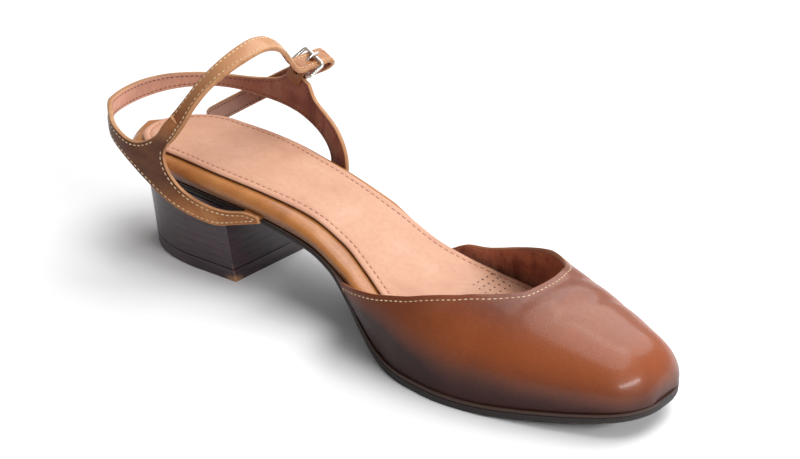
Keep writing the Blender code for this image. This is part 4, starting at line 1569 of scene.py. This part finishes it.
@dataclass(frozen=True)
class Crease:
    """One flex crease across the vamp, sunk where its depth is negative."""

    middle: float
    lean: float
    width: float
    start: float
    end: float
    depth: float

    def at(self, x: float, angle: float) -> float:
        """Return how far the crease lifts the leather.

        Args:
            x: Distance along the sole.
            angle: Direction round the section in degrees.

        Returns:
            Lift in metres.
        """
        off = (x - self.middle - self.lean * (angle - 90)) / self.width
        span = (angle - (self.start + self.end) / 2) / ((self.end - self.start) / 2)
        return self.depth * math.exp(-off * off) * math.exp(-span ** 4)


CREASES = (
    Crease(0.2020, 0.000088, 0.0026, 62, 128, -0.00062),
    Crease(0.2085, 0.000120, 0.0030, 48, 112, 0.00052),
    Crease(0.2150, 0.000104, 0.0032, 60, 140, -0.00055),
    Crease(0.1930, -0.000064, 0.0034, 128, 158, -0.00045),
    Crease(0.1700, 0.000160, 0.0034, 24, 54, -0.00050),
    Crease(0.1840, 0.000120, 0.0036, 30, 62, -0.00062),
)


@dataclass
class Vamp:
    """Closed toe of the upper: outer leather, rolled edge, lining and topline sewing."""

    finishes: Finishes
    rise: float = 0.0440
    nose_squareness: float = 2.2
    section: dict[Side, Span] = field(default_factory=lambda: {
        Side.INNER: (0.906, 0.884), Side.OUTER: (0.865, 1.258)})
    around: int = 120
    along: int = 110
    rim_steps: int = 6
    rim_bulge: float = 0.30
    seam_inset: float = 0.0019
    seam_span: Span = (5.0, 175.0)
    seam_places: int = 240
    thread_lift: float = 0.00003
    probe: float = 0.0005

    def __post_init__(self) -> None:
        """Read the tables into curves."""
        self.rise_share = VAMP_ROWS.curve("rise")
        self.full = {side: VAMP_ROWS.curve("full" + LAST.suffix(side)) for side in Side}
        self.top = TOPLINE.curve("along")

    def point(self, x: float, angle: float, inset: float) -> Vector:
        """Return a point of the vamp.

        Args:
            x: Distance along the sole.
            angle: Direction round the section, from the inner side over the instep.
            inset: Depth into the wall from its outer face.

        Returns:
            The point in the frame.
        """
        side = Side.INNER if angle < 90 else Side.OUTER
        tip = LAST.sole_tip - LAST.vamp_setback - inset
        start = LAST.sole_length * LAST.toe_start
        t = clamp((x - start) / (tip - start))
        nose = (1 - t ** self.nose_squareness) ** (1 / self.nose_squareness)
        rise = self.rise * self.rise_share(x / LAST.sole_length) * nose - inset * min(nose * 3, 1.0)
        rise = max(rise + sum(crease.at(x, angle) for crease in CREASES) * nose, 0.0)
        foot = LAST.vamp_foot_half(x, side) - inset
        rounding = LAST.toe_round(x)
        full = LAST.ball_width * self.full[side](x / LAST.sole_length) * rounding - inset
        full = foot + max(full - foot, 0.0) * nose
        lift = math.sin(math.radians(angle))
        reach = abs(math.cos(math.radians(angle)))
        shoulder, slope = self.section[side]
        y = full * reach ** shoulder * (1 - (1 - foot / full) * (1 - lift) ** 4)
        return LAST.world(x, side.value * y, LAST.bench_z(x) + LAST.gap + rise * lift ** slope)

    def row(self, t: float, inset: float, back: float) -> list[Vector]:
        """Return one row of points over the instep.

        Args:
            t: Share of the way from the topline to the toe's tip.
            inset: Depth into the wall from its outer face.
            back: Distance that the row starts behind the topline.

        Returns:
            Points from the inner side to the outer side.
        """
        tip = LAST.sole_tip - LAST.vamp_setback - inset
        points = []
        for j in range(self.around + 1):
            angle = 180 * j / self.around
            start = LAST.sole_length * self.top(angle) - back
            points.append(self.point(start + (tip - start) * t, angle, inset))
        return points

    def skin(self, inset: float) -> list[list[Vector]]:
        """Return the rows of one face of the leather, from the topline to the toe."""
        shares = [math.sin(quarter(i, self.along)) for i in range(self.along + 1)]
        return [self.row(share, inset, 0.0) for share in shares]

    def rim(self) -> list[list[Vector]]:
        """Rows that round the topline over from the outer face to the lining.

        Returns:
            Rows of points.
        """
        rows = []
        for k in range(1, self.rim_steps):
            a = math.pi * k / self.rim_steps
            inset = LAST.vamp_wall / 2 * (1 - math.cos(a))
            rows.append(self.row(0.0, inset, LAST.vamp_wall * self.rim_bulge * math.sin(a)))
        return rows

    def build(self) -> None:
        """Make the vamp and sew its topline."""
        draft = Draft()
        outer = draft.rows(self.skin(0.0))
        inner = draft.rows(self.skin(LAST.vamp_wall))
        rim = [outer[0], *draft.rows(self.rim()), inner[0]]
        draft.skin(outer, paint=0)
        draft.skin(rim, paint=1)
        draft.skin(inner, paint=2)
        for column in (0, -1):
            foot = [[row[column] for row in outer], [row[column] for row in inner]]
            draft.skin(foot, paint=1)
            draft.face([row[column] for row in rim], 1)
        draft.skin([outer[-1], inner[-1]], paint=1)
        materials = [self.finishes.vamp, self.finishes.vamp_edge, self.finishes.vamp_lining]
        obj = draft.build("vamp_upper", materials, smooth_angle=70)
        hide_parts("vamp")
        self.sew()

    def beside_topline(self, angle: float, inset: float) -> tuple[Vector, Vector]:
        """Return a place on the outer face at a set distance from the topline.

        Args:
            angle: Direction round the section where the topline is measured from.
            inset: Distance from the topline.

        Returns:
            The place and the leather's outward direction there.
        """
        x = LAST.sole_length * self.top(angle)
        ahead, behind = min(angle + 0.5, 180), max(angle - 0.5, 0)
        edge = (self.point(LAST.sole_length * self.top(ahead), ahead, 0.0)
                - self.point(LAST.sole_length * self.top(behind), behind, 0.0)).normalized()
        here = self.point(x, angle, 0.0)
        along = (self.point(x + self.probe, angle, 0.0) - here) / self.probe
        round_way = (self.point(x, ahead, 0.0) - self.point(x, behind, 0.0)) / (ahead - behind)
        up = along.cross(round_way).normalized()
        if up.z < 0 and 20 < angle < 160 or up.y * (angle - 90) < 0:
            up = -up
        inward = up.cross(edge).normalized()
        if inward.x < 0:
            inward = -inward
        a, b, c = along.dot(along), along.dot(round_way), round_way.dot(round_way)
        p, q = inward.dot(along), inward.dot(round_way)
        size = a * c - b * b
        dx, turn = (p * c - q * b) / size * inset, (q * a - p * b) / size * inset
        turned = min(max(angle + turn, 0.5), 179.5)
        return self.point(x + dx, turned, 0.0), up

    def sew(self) -> None:
        """Sew one row beside the topline."""
        sewing = Sewing("topline_stitches", self.finishes.thread,
                        pitch=0.0021, length=0.0015, radius=0.00018)
        first, last = self.seam_span
        line = [self.beside_topline(first + (last - first) * k / self.seam_places, self.seam_inset)
                for k in range(self.seam_places + 1)]
        sewing.row(line, self.thread_lift)
        sewing.build("vamp")


@dataclass
class StrapHarness:
    """Forked sides and sling cut from one piece of lined leather, with the ankle strap."""

    finishes: Finishes
    leather: float = 0.0020
    loop_reach: float = 0.080
    loop_half: float = 0.036
    ankle_height: float = 0.0936
    sling_drop: float = 0.0320
    buckle_seat: float = 0.0034
    fork_top: float = 0.0049
    strap_width: float = 0.0080
    hole: float = 0.0018
    prong_hole: float = 0.0030
    hole_pitch: float = 0.0075
    bends: int = 260
    edge_samples: int = 8
    rounding: float = 0.00055
    seam_inset: float = 0.0014
    seam_step: float = 0.0008
    seam_break: float = 0.0022
    sewn_share: float = 0.94
    thread_lift: float = 0.00006
    clear_of_strap: float = 0.0036
    strap_samples: int = 10
    lap_seam: int = 15
    lap_rows: float = 2.2
    lap_lift: float = 0.0005
    pared: float = 0.60
    end_taper: float = 0.12
    smooth_angle: float = 60.0
    prong_ahead: float = 0.0012
    first_hole: int = 5
    spare_holes: int = 3
    foot_reach: float = 0.008
    foot_thickness: float = 0.0014
    foot_steps: int = 12
    feet: dict[Side, Span] = field(default_factory=lambda: {
        Side.INNER: (0.0715, 0.0785), Side.OUTER: (0.0695, 0.0785)})

    def __post_init__(self) -> None:
        """Lay out the plan of the loop."""
        points = [Vector((f * self.loop_reach, a * self.loop_half, 0)) for f, a in LOOP.rows]
        self.plan = through(points, samples=16)
        self.run = runs(self.plan)
        self.sling_height = self.ankle_height - self.sling_drop

    def on_loop(self, distance: float) -> tuple[Vector, Vector]:
        """Return a place on the loop and the way its grain side faces.

        Args:
            distance: Distance round the loop.

        Returns:
            The place in plan, and the direction.
        """
        distance = min(max(distance, 0.0), self.run[-1])
        k = min(bisect_right(self.run, distance) - 1, len(self.run) - 2)
        t = (distance - self.run[k]) / (self.run[k + 1] - self.run[k])
        place = self.plan[k].lerp(self.plan[k + 1], t)
        first, last = max(k - 5, 0), min(k + 6, len(self.plan) - 1)
        heading = (self.plan[last] - self.plan[first]).normalized()
        return place, Vector((-heading.y, heading.x, 0))

    def bent(self, flat: Vector, offset: float) -> tuple[Vector, Vector]:
        """Bend a place of the flat pattern round the ankle.

        Args:
            flat: Distance round the loop as X and height as Z.
            offset: Distance from the leather's middle, positive on the grain side.

        Returns:
            The place in the frame and the grain side's direction.
        """
        place, outward = self.on_loop(flat.x)
        place = place + outward * offset
        return LAST.world(place.x, place.y, flat.z), outward

    def edge_height(self, share: float) -> float:
        """Return a height on the flat pattern, where the forks climb to the buckle.

        Args:
            share: 0 at the floor, 1 at the sling's top and 2 at the fork's tip.

        Returns:
            Height in metres.
        """
        tip = ANKLE_STRAP.rows[BUCKLE_ROW][2] * self.ankle_height - self.buckle_seat
        if share >= 1.5:
            return tip - self.fork_top * (2.0 - share) * 2
        climb = tip - self.fork_top - self.sling_height
        return self.sling_height * min(share, 1.0) + climb * max(share - 1.0, 0.0) * 2

    def edge(self, table: Table) -> list[Vector]:
        """Return one edge of the flat pattern, smooth between its corners.

        Args:
            table: Places along the edge, with its corners.

        Returns:
            Points of the edge.
        """
        points = [Vector((a * self.run[-1], 0, self.edge_height(h))) for a, h, _ in table.rows]
        corners = [k for k, row in enumerate(table.rows) if row[2]]
        line = []
        for start, end in zip(corners, corners[1:]):
            span = points[start:end + 1]
            if len(span) == 2:
                line += [span[0].lerp(span[1], k / 3) for k in range(3)]
            else:
                line += through(span, self.edge_samples)[:-1]
        return line

    def pattern(self) -> list[Vector]:
        """Return the whole outline of the flat pattern."""
        return self.edge(LOW_EDGE) + self.edge(HIGH_EDGE)

    def build_sides(self) -> bpy.types.Object:
        """Cut the sides and sling flat, round the edges and bend them round the ankle.

        Returns:
            The sides and sling.
        """
        bm = bmesh.new()
        outline = [bm.verts.new(p - Vector((0, self.leather / 2, 0))) for p in self.pattern()]
        grown = bmesh.ops.extrude_face_region(bm, geom=[bm.faces.new(outline)])["geom"]
        moved = [item for item in grown if isinstance(item, bmesh.types.BMVert)]
        bmesh.ops.translate(bm, verts=moved, vec=(0, self.leather, 0))
        bm.normal_update()
        bmesh.ops.recalc_face_normals(bm, faces=bm.faces)
        rims = [e for e in bm.edges if abs(e.verts[0].co.y - e.verts[1].co.y) < WELD / 10]
        bmesh.ops.bevel(bm, geom=rims, offset=self.rounding, segments=3, profile=0.5,
                        affect="EDGES", clamp_overlap=False)
        bm.normal_update()
        for face in bm.faces:
            facing = face.normal.y
            face.material_index = 0 if facing > 0.8 else 1 if facing < -0.8 else 2
        for k in range(1, self.bends):
            geometry = bm.verts[:] + bm.edges[:] + bm.faces[:]
            place = Vector((self.run[-1] * k / self.bends, 0, 0))
            bmesh.ops.bisect_plane(
                bm, geom=geometry, dist=WELD / 10, plane_co=place, plane_no=(1, 0, 0))
        for vert in bm.verts:
            vert.co = self.bent(vert.co, vert.co.y)[0]
        bmesh.ops.recalc_face_normals(bm, faces=bm.faces)
        mesh = named_mesh("harness_sides", bm)
        return settle("harness_sides", mesh, self.finishes.lined_strap, self.smooth_angle)

    def frames(self, samples: int) -> list[tuple[Vector, Vector, Vector, float]]:
        """Return middle points, headings, grain directions and half widths of the strap.

        Args:
            samples: Steps between neighbouring rows of the table.

        Returns:
            One group for each place.
        """
        rows = ANKLE_STRAP.rows
        places = [LAST.world(r[0] * self.loop_reach, r[1] * self.loop_half, r[2] * self.ankle_height)
                  for r in rows]
        middle = through(places, samples)
        facing = through([Vector(r[3:6]).normalized() for r in rows], samples)
        share = through([Vector((r[6], 0, 0)) for r in rows], samples)
        frames = []
        for k, place in enumerate(middle):
            after = middle[min(k + 1, len(middle) - 1)]
            heading = (after - middle[max(k - 1, 0)]).normalized()
            grain = (facing[k] - heading * facing[k].dot(heading)).normalized()
            frames.append((place, heading, grain, share[k].x * self.strap_width / 2))
        return frames

    def lap_thickness(self, step: int) -> float:
        """Return the strap's thickness, pared down where it is lapped on the fork."""
        return self.leather * min(self.pared + (1 - self.pared) * step / self.strap_samples, 1.0)

    def lapped(self, place: Vector, grain: Vector, step: float) -> Vector:
        """Lift a place of the strap where it lies on the fork.

        Args:
            place: Middle of the strap.
            grain: Direction of its grain side.
            step: Number of the place along the strap.

        Returns:
            The lifted place.
        """
        lap = max(1 - step / (self.lap_rows * self.strap_samples), 0.0)
        return place + grain * self.lap_lift * min(lap * 3, 1.0)

    def build_ankle_strap(self) -> bpy.types.Object:
        """Make the ankle strap, lapped on the inner fork, with its punched holes.

        Returns:
            The strap.
        """
        draft = Draft()
        rings = []
        frames = self.frames(self.strap_samples)
        for k, (place, heading, grain, half) in enumerate(frames):
            across = grain.cross(heading)
            place = self.lapped(place, grain, k)
            end = min(k, len(frames) - 1 - k) / (0.5 * self.strap_samples)
            half = half * (1 - self.end_taper * max(1 - end, 0.0) ** 2)
            thin = self.lap_thickness(k) / 2
            ring = []
            for way, side in ((1, 1), (-1, 1), (-1, -1), (1, -1)):
                for s in range(4):
                    a = quarter(s, 3)
                    a = a if way * side > 0 else math.pi / 2 - a
                    wide = half - self.rounding * (1 - math.cos(a))
                    tall = thin - self.rounding * (1 - math.sin(a))
                    ring.append(place + across * wide * way + grain * tall * side)
            rings.append(ring)

        def paint(column: int) -> int:
            """Tell grain, lining and cut edge apart."""
            return {3: 0, 11: 1}.get(column, 2)

        draft.tube(rings, paint)
        # The strap's starting end shows the grain side's leather.
        draft.paint[-2] = 0
        obj = draft.build("ankle_strap", self.finishes.lined_strap, self.smooth_angle)
        drill(obj, [self.punch(spot, axis, radius) for spot, axis, radius in self.holes()])
        obj.data.shade_smooth()
        obj.data.set_sharp_from_angle(angle=math.radians(self.smooth_angle))
        return obj

    def holes(self) -> list[tuple[Vector, Vector, float]]:
        """Return place, axis and radius of each hole punched in the strap.

        Returns:
            The prong's hole, then the spare ones.
        """
        frames = self.frames(self.strap_samples)
        first = BUCKLE_ROW * self.strap_samples
        place, heading, grain, _ = frames[first]
        found = [(place + heading * self.prong_ahead, grain, self.prong_hole / 2)]
        run, wanted = 0.0, self.first_hole * self.hole_pitch
        for before, after in zip(frames[first:], frames[first + 1:]):
            run += (after[0] - before[0]).length
            if run > wanted and len(found) <= self.spare_holes:
                found.append((after[0], after[2], self.hole / 2))
                wanted += self.hole_pitch
        return found

    def punch(self, place: Vector, axis: Vector, radius: float) -> bpy.types.Object:
        """Make the round cutter of one hole.

        Args:
            place: Middle of the hole.
            axis: Way that the hole runs.
            radius: Radius of the hole.

        Returns:
            The cutter.
        """
        bm = bmesh.new()
        bmesh.ops.create_cone(
            bm, cap_ends=True, segments=28, radius1=radius, radius2=radius, depth=self.leather * 3)
        turn = UP.rotation_difference(axis).to_matrix().to_4x4()
        bmesh.ops.transform(bm, matrix=Matrix.Translation(place) @ turn, verts=bm.verts)
        mesh = named_mesh("punch", bm)
        mesh.materials.append(self.finishes.hole)
        return linked("punch", mesh)

    def seam_line(self, inset: float) -> list[list[Vector]]:
        """Return the runs of a seam at a set distance inside the flat pattern's edge.

        Args:
            inset: Distance from the edge.

        Returns:
            Unbroken runs of places on the flat pattern.
        """
        line = self.pattern()
        dense = []
        for here, after in zip(line, line[1:] + line[:1]):
            steps = max(int((after - here).length / self.seam_step), 1)
            dense += [here.lerp(after, k / steps) for k in range(steps)]
        edge = np.array([(p.x, p.z) for p in dense])
        found: list[list[Vector]] = [[]]
        for before, here, after in zip(dense[-1:] + dense, dense, dense[1:] + dense[:1]):
            heading = (after - before).normalized()
            inner = here + Vector((-heading.z, 0, heading.x)) * inset
            gap = np.sqrt(((edge - (inner.x, inner.z)) ** 2).sum(1).min())
            if gap < inset * self.sewn_share:
                continue
            if found[-1] and (found[-1][-1] - inner).length > self.seam_break:
                found.append([])
            found[-1].append(inner)
        return [run for run in found if len(run) > 6]

    def sew(self) -> None:
        """Sew round the sides and along both edges of the ankle strap."""
        outside = Sewing("strap_stitches", self.finishes.thread,
                         pitch=0.0022, length=0.0015, radius=0.00023)
        inside = Sewing("lining_stitches", self.finishes.brown_thread,
                        pitch=0.0021, length=0.0015, radius=0.00018)
        frames = self.frames(self.strap_samples)
        self.sew_sides(outside, inside, [row[0] for row in frames[:3 * self.strap_samples]])
        place, heading, up, half = frames[self.lap_seam]
        lap_top = place + up * (self.leather / 2 + self.lap_lift)
        reach = up.cross(heading) * (half - self.lap_lift)
        outside.row([(lap_top + reach * k / 6, up) for k in range(-6, 7)], self.thread_lift)
        self.sew_strap(outside, inside, frames)
        outside.build("strap_harness")
        inside.build("strap_harness")

    def sew_sides(self, outside: Sewing, inside: Sewing, lapped: Sequence[Vector]) -> None:
        """Sew round the sides, leaving the grain side free under the ankle strap.

        Args:
            outside: Sewing of the grain side.
            inside: Sewing of the lining.
            lapped: Middle of the ankle strap where it lies on the fork.
        """
        for run in self.seam_line(self.seam_inset):
            grain, lining = [], []
            for flat in run:
                place, outward = self.bent(flat, self.leather / 2)
                if min((place - spot).length for spot in lapped) > self.clear_of_strap:
                    grain.append((place, outward))
                elif grain:
                    outside.row(grain, self.thread_lift)
                    grain = []
                place, outward = self.bent(flat, -self.leather / 2)
                lining.append((place, -outward))
            outside.row(grain, self.thread_lift)
            inside.row(lining, self.thread_lift)

    def sew_strap(self, outside: Sewing, inside: Sewing, frames: Sequence[tuple]) -> None:
        """Sew along both edges of the ankle strap.

        Args:
            outside: Sewing of the grain side.
            inside: Sewing of the lining.
            frames: Places of the strap with headings, grain directions and half widths.
        """
        skipped = 0.4 * self.strap_samples
        for way in (-1, 1):
            grain, lining = [], []
            for k, (place, heading, up, half) in enumerate(frames[int(skipped):-3]):
                place = self.lapped(place, up, k + skipped)
                at = place + up.cross(heading) * way * (half - self.seam_inset)
                grain.append((at + up * self.leather / 2, up))
                lining.append((at - up * self.leather / 2, -up))
            outside.row(grain, self.thread_lift)
            inside.row(lining, self.thread_lift)

    def build_feet(self) -> None:
        """Make the two strap ends that are lasted in under the platform."""
        draft = Draft()
        for side, (start, end) in self.feet.items():
            near = [p for p in self.plan
                    if (p.y < 0) == (side is Side.INNER) and p.x > self.loop_reach / 2]
            rings = []
            for k in range(self.foot_steps + 1):
                x = start + (end - start) * k / self.foot_steps
                joint = abs(min(near, key=lambda p: abs(p.x - x)).y) - self.leather / 4
                tucked = joint - self.foot_reach
                low = LAST.bench_z(x) + LAST.gap
                high = low + self.foot_thickness
                section = [(tucked, low), (joint, low), (joint, high), (tucked, high)]
                rings.append([LAST.world(x, side.value * y, z) for y, z in section])
            draft.tube(rings)
        obj = draft.build("strap_feet", [self.finishes.strap])

    def build(self) -> None:
        """Make the whole harness."""
        sides = self.build_sides()
        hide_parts("strap_harness")
        strap = self.build_ankle_strap()
        self.build_feet()
        self.sew()


PRONG_LOOP = (-60, -105, -150, -195, -235)
PRONG_RISE = Table("ahead up", ((0.16, 0.40), (0.26, 0.64), (0.38, 0.92)))


@dataclass
class Buckle:
    """Steel frame and prong on the ankle strap, held by a folded leather tab."""

    finishes: Finishes
    harness: StrapHarness
    wire: float = 0.0015
    length: float = 0.0085
    width: float = 0.0110
    pitch: float = 39.4
    drop: float = 0.00065
    prong: float = 0.0010
    wire_sides: int = 18
    corner_steps: int = 8
    tab_bevel: float = 0.00025

    def axes(self) -> tuple[Vector, Vector, Vector, Vector, Vector]:
        """Return the frame's centre, its length and width ways, and the strap's ways.

        Returns:
            Centre and four directions.
        """
        frames = self.harness.frames(3)
        place, heading, grain, _ = frames[BUCKLE_ROW * 3]
        across = grain.cross(heading)
        pitch = math.radians(self.pitch)
        lengthwise = heading * math.cos(pitch) + grain * math.sin(pitch)
        return place - grain * self.drop, lengthwise, across, heading, grain

    def build_wire(self, name: str, points: Sequence[Vector], radius: float, closed: bool,
                   node: str) -> None:
        """Make round wire along points.

        Args:
            name: Name of the object.
            points: Points along the wire's middle.
            radius: Radius of the wire.
            closed: Whether the wire joins up with its start.
            node: Node that the wire replaces.
        """
        draft = Draft()
        count = len(points)
        rings = []
        up = self.axes()[2]
        for k, place in enumerate(points):
            after = points[(k + 1) % count] if closed else points[min(k + 1, count - 1)]
            before = points[k - 1] if closed or k else points[0]
            heading = (after - before).normalized()
            up = (up - heading * up.dot(heading)).normalized()
            aside = heading.cross(up)
            end = 0 if closed else min(k, count - 1 - k)
            size = radius * (1.0 if closed else min(0.55 + 0.25 * end, 1.0))
            turns = [math.tau * s / self.wire_sides for s in range(self.wire_sides)]
            rings.append([place + (up * math.cos(a) + aside * math.sin(a)) * size for a in turns])
        if closed:
            rows = draft.rows(rings)
            draft.skin(rows + [rows[0]], True)
        else:
            draft.tube(rings)
        obj = draft.build(name, [self.finishes.steel], smooth_angle=70)
        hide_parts(node)

    def frame_points(self) -> list[Vector]:
        """Points round the rectangular frame with its rounded corners.

        Returns:
            Points of the wire's middle.
        """
        centre, lengthwise, across, *_ = self.axes()
        corner = self.wire
        half_l, half_w = self.length / 2 - corner, self.width / 2 - corner
        points = []
        for turn, (fore, side) in enumerate(((1, 1), (-1, 1), (-1, -1), (1, -1))):
            for k in range(self.corner_steps + 1):
                a = math.pi / 2 * (turn + k / self.corner_steps)
                ahead = fore * half_l + corner * math.cos(a)
                aside = side * half_w + corner * math.sin(a)
                points.append(centre + lengthwise * ahead + across * aside)
        return points

    def prong_points(self) -> list[Vector]:
        """Points from the loop on the hinge bar over the strap to the far bar.

        Returns:
            Points of the wire's middle.
        """
        centre, lengthwise, _, heading, grain = self.axes()
        bar = centre - lengthwise * self.length / 2
        clear = self.wire / 2 + self.prong / 2 + LAST.gap
        path = [(clear * math.cos(math.radians(a)), clear * math.sin(math.radians(a)))
                for a in PRONG_LOOP]
        far_x = self.length * math.cos(math.radians(self.pitch))
        far_z = self.length * math.sin(math.radians(self.pitch))
        path += [(far_x * ahead, far_z * up) for ahead, up in PRONG_RISE.rows]
        path += [(far_x * 0.62, far_z + clear * 0.62), (far_x + clear * 0.2, far_z + clear),
                 (far_x + clear * 1.2, far_z + clear * 0.9)]
        return through([bar + heading * x + grain * z for x, z in path], samples=5)

    def build(self) -> None:
        """Make frame, prong and tab."""
        self.build_wire("buckle_frame_wire", self.frame_points(), self.wire / 2, True,
                        "buckle_frame")
        self.build_wire("buckle_prong_wire", self.prong_points(), self.prong / 2, False,
                        "buckle_prong")
        tab = softened_copy("buckle_tab_leather", "buckle_tab", self.tab_bevel, [self.finishes.tab])


@dataclass
class PhotoView:
    """Camera at the photograph's place and angle."""

    place: tuple[float, float, float] = (0.4619, -0.4932, 0.3325)
    yaw: float = 126.688
    pitch: float = -25.605
    roll: float = 2.826
    lens: float = 79.55
    sensor: float = 36.0

    def build(self) -> None:
        """Make the camera."""
        yaw, pitch, roll = (math.radians(a) for a in (self.yaw, self.pitch, self.roll))
        level = math.cos(pitch)
        ahead = Vector((level * math.cos(yaw), level * math.sin(yaw), math.sin(pitch)))
        right = ahead.cross(UP).normalized()
        up = right.cross(ahead)
        turned = right * math.cos(roll) + up * math.sin(roll)
        upright = up * math.cos(roll) - right * math.sin(roll)
        camera = linked("camera", bpy.data.cameras.new("camera"))
        camera.data.sensor_width = self.sensor
        camera.data.lens = self.lens
        axes = Matrix((turned, upright, -ahead)).transposed().to_4x4()
        camera.matrix_world = Matrix.Translation(self.place) @ axes
        bpy.context.scene.camera = camera


class LampShape(Enum):
    """The two shapes of soft lamp in the studio."""

    ROUND = "DISK"
    STRIP = "RECTANGLE"


@dataclass(frozen=True)
class Softbox:
    """One soft lamp that is turned towards the shoe."""

    name: str
    place: tuple[float, float, float]
    size: float
    power: float
    shape: LampShape = LampShape.ROUND
    slimness: float = 0.14
    target: tuple[float, float, float] = (0.08, 0.0, 0.03)

    def build(self) -> None:
        """Hang the lamp."""
        light = bpy.data.lights.new(self.name, "AREA")
        light.shape = self.shape.value
        light.size = self.size
        light.size_y = self.size * self.slimness
        light.energy = self.power
        lamp = linked(self.name, light)
        lamp.location = self.place
        aim = Vector(self.target) - Vector(self.place)
        lamp.rotation_euler = aim.to_track_quat("-Z", "Y").to_euler()


@dataclass
class Studio:
    """Pale floor, soft lamps and a bright surround."""

    finishes: Finishes
    surround: float = 0.32
    floor_half: float = 3.0
    lamps: tuple[Softbox, ...] = (
        Softbox("back_softbox", (0.10, 1.20, 1.30), 1.6, 22.0),
        Softbox("top_softbox", (0.45, 0.25, 1.50), 1.2, 14.0),
        Softbox("side_softbox", (1.40, -0.10, 0.75), 1.1, 13.0, LampShape.STRIP),
    )

    def build(self) -> None:
        """Make floor, lamps and surround, and choose how light turns into colour."""
        half = self.floor_half
        corners = [(-half, -half, 0), (half, -half, 0), (half, half, 0), (-half, half, 0)]
        mesh = bpy.data.meshes.new("floor")
        mesh.from_pydata(corners, [], [(0, 1, 2, 3)])
        mesh.materials.append(self.finishes.floor)
        floor = linked("floor", mesh)
        for lamp in self.lamps:
            lamp.build()
        world = bpy.data.worlds.new("surround")
        world.use_nodes = True
        background = world.node_tree.nodes["Background"]
        background.inputs["Color"].default_value = (1.0, 1.0, 1.0, 1.0)
        background.inputs["Strength"].default_value = self.surround
        bpy.context.scene.world = world
        bpy.context.scene.view_settings.view_transform = "Standard"


def main() -> None:
    """Set up camera and studio, then build the shoe piece by piece."""
    logging.basicConfig(level=logging.INFO, format="%(name)s %(message)s")
    finishes = Finishes()
    PhotoView().build()
    Studio(finishes).build()
    Outsole(finishes).build()
    Heel(finishes).build()
    Platform(finishes).build()
    FootbedCover(finishes).build()
    Vamp(finishes).build()
    harness = StrapHarness(finishes)
    harness.build()
    Buckle(finishes, harness).build()


if __name__ == "__main__":
    main()
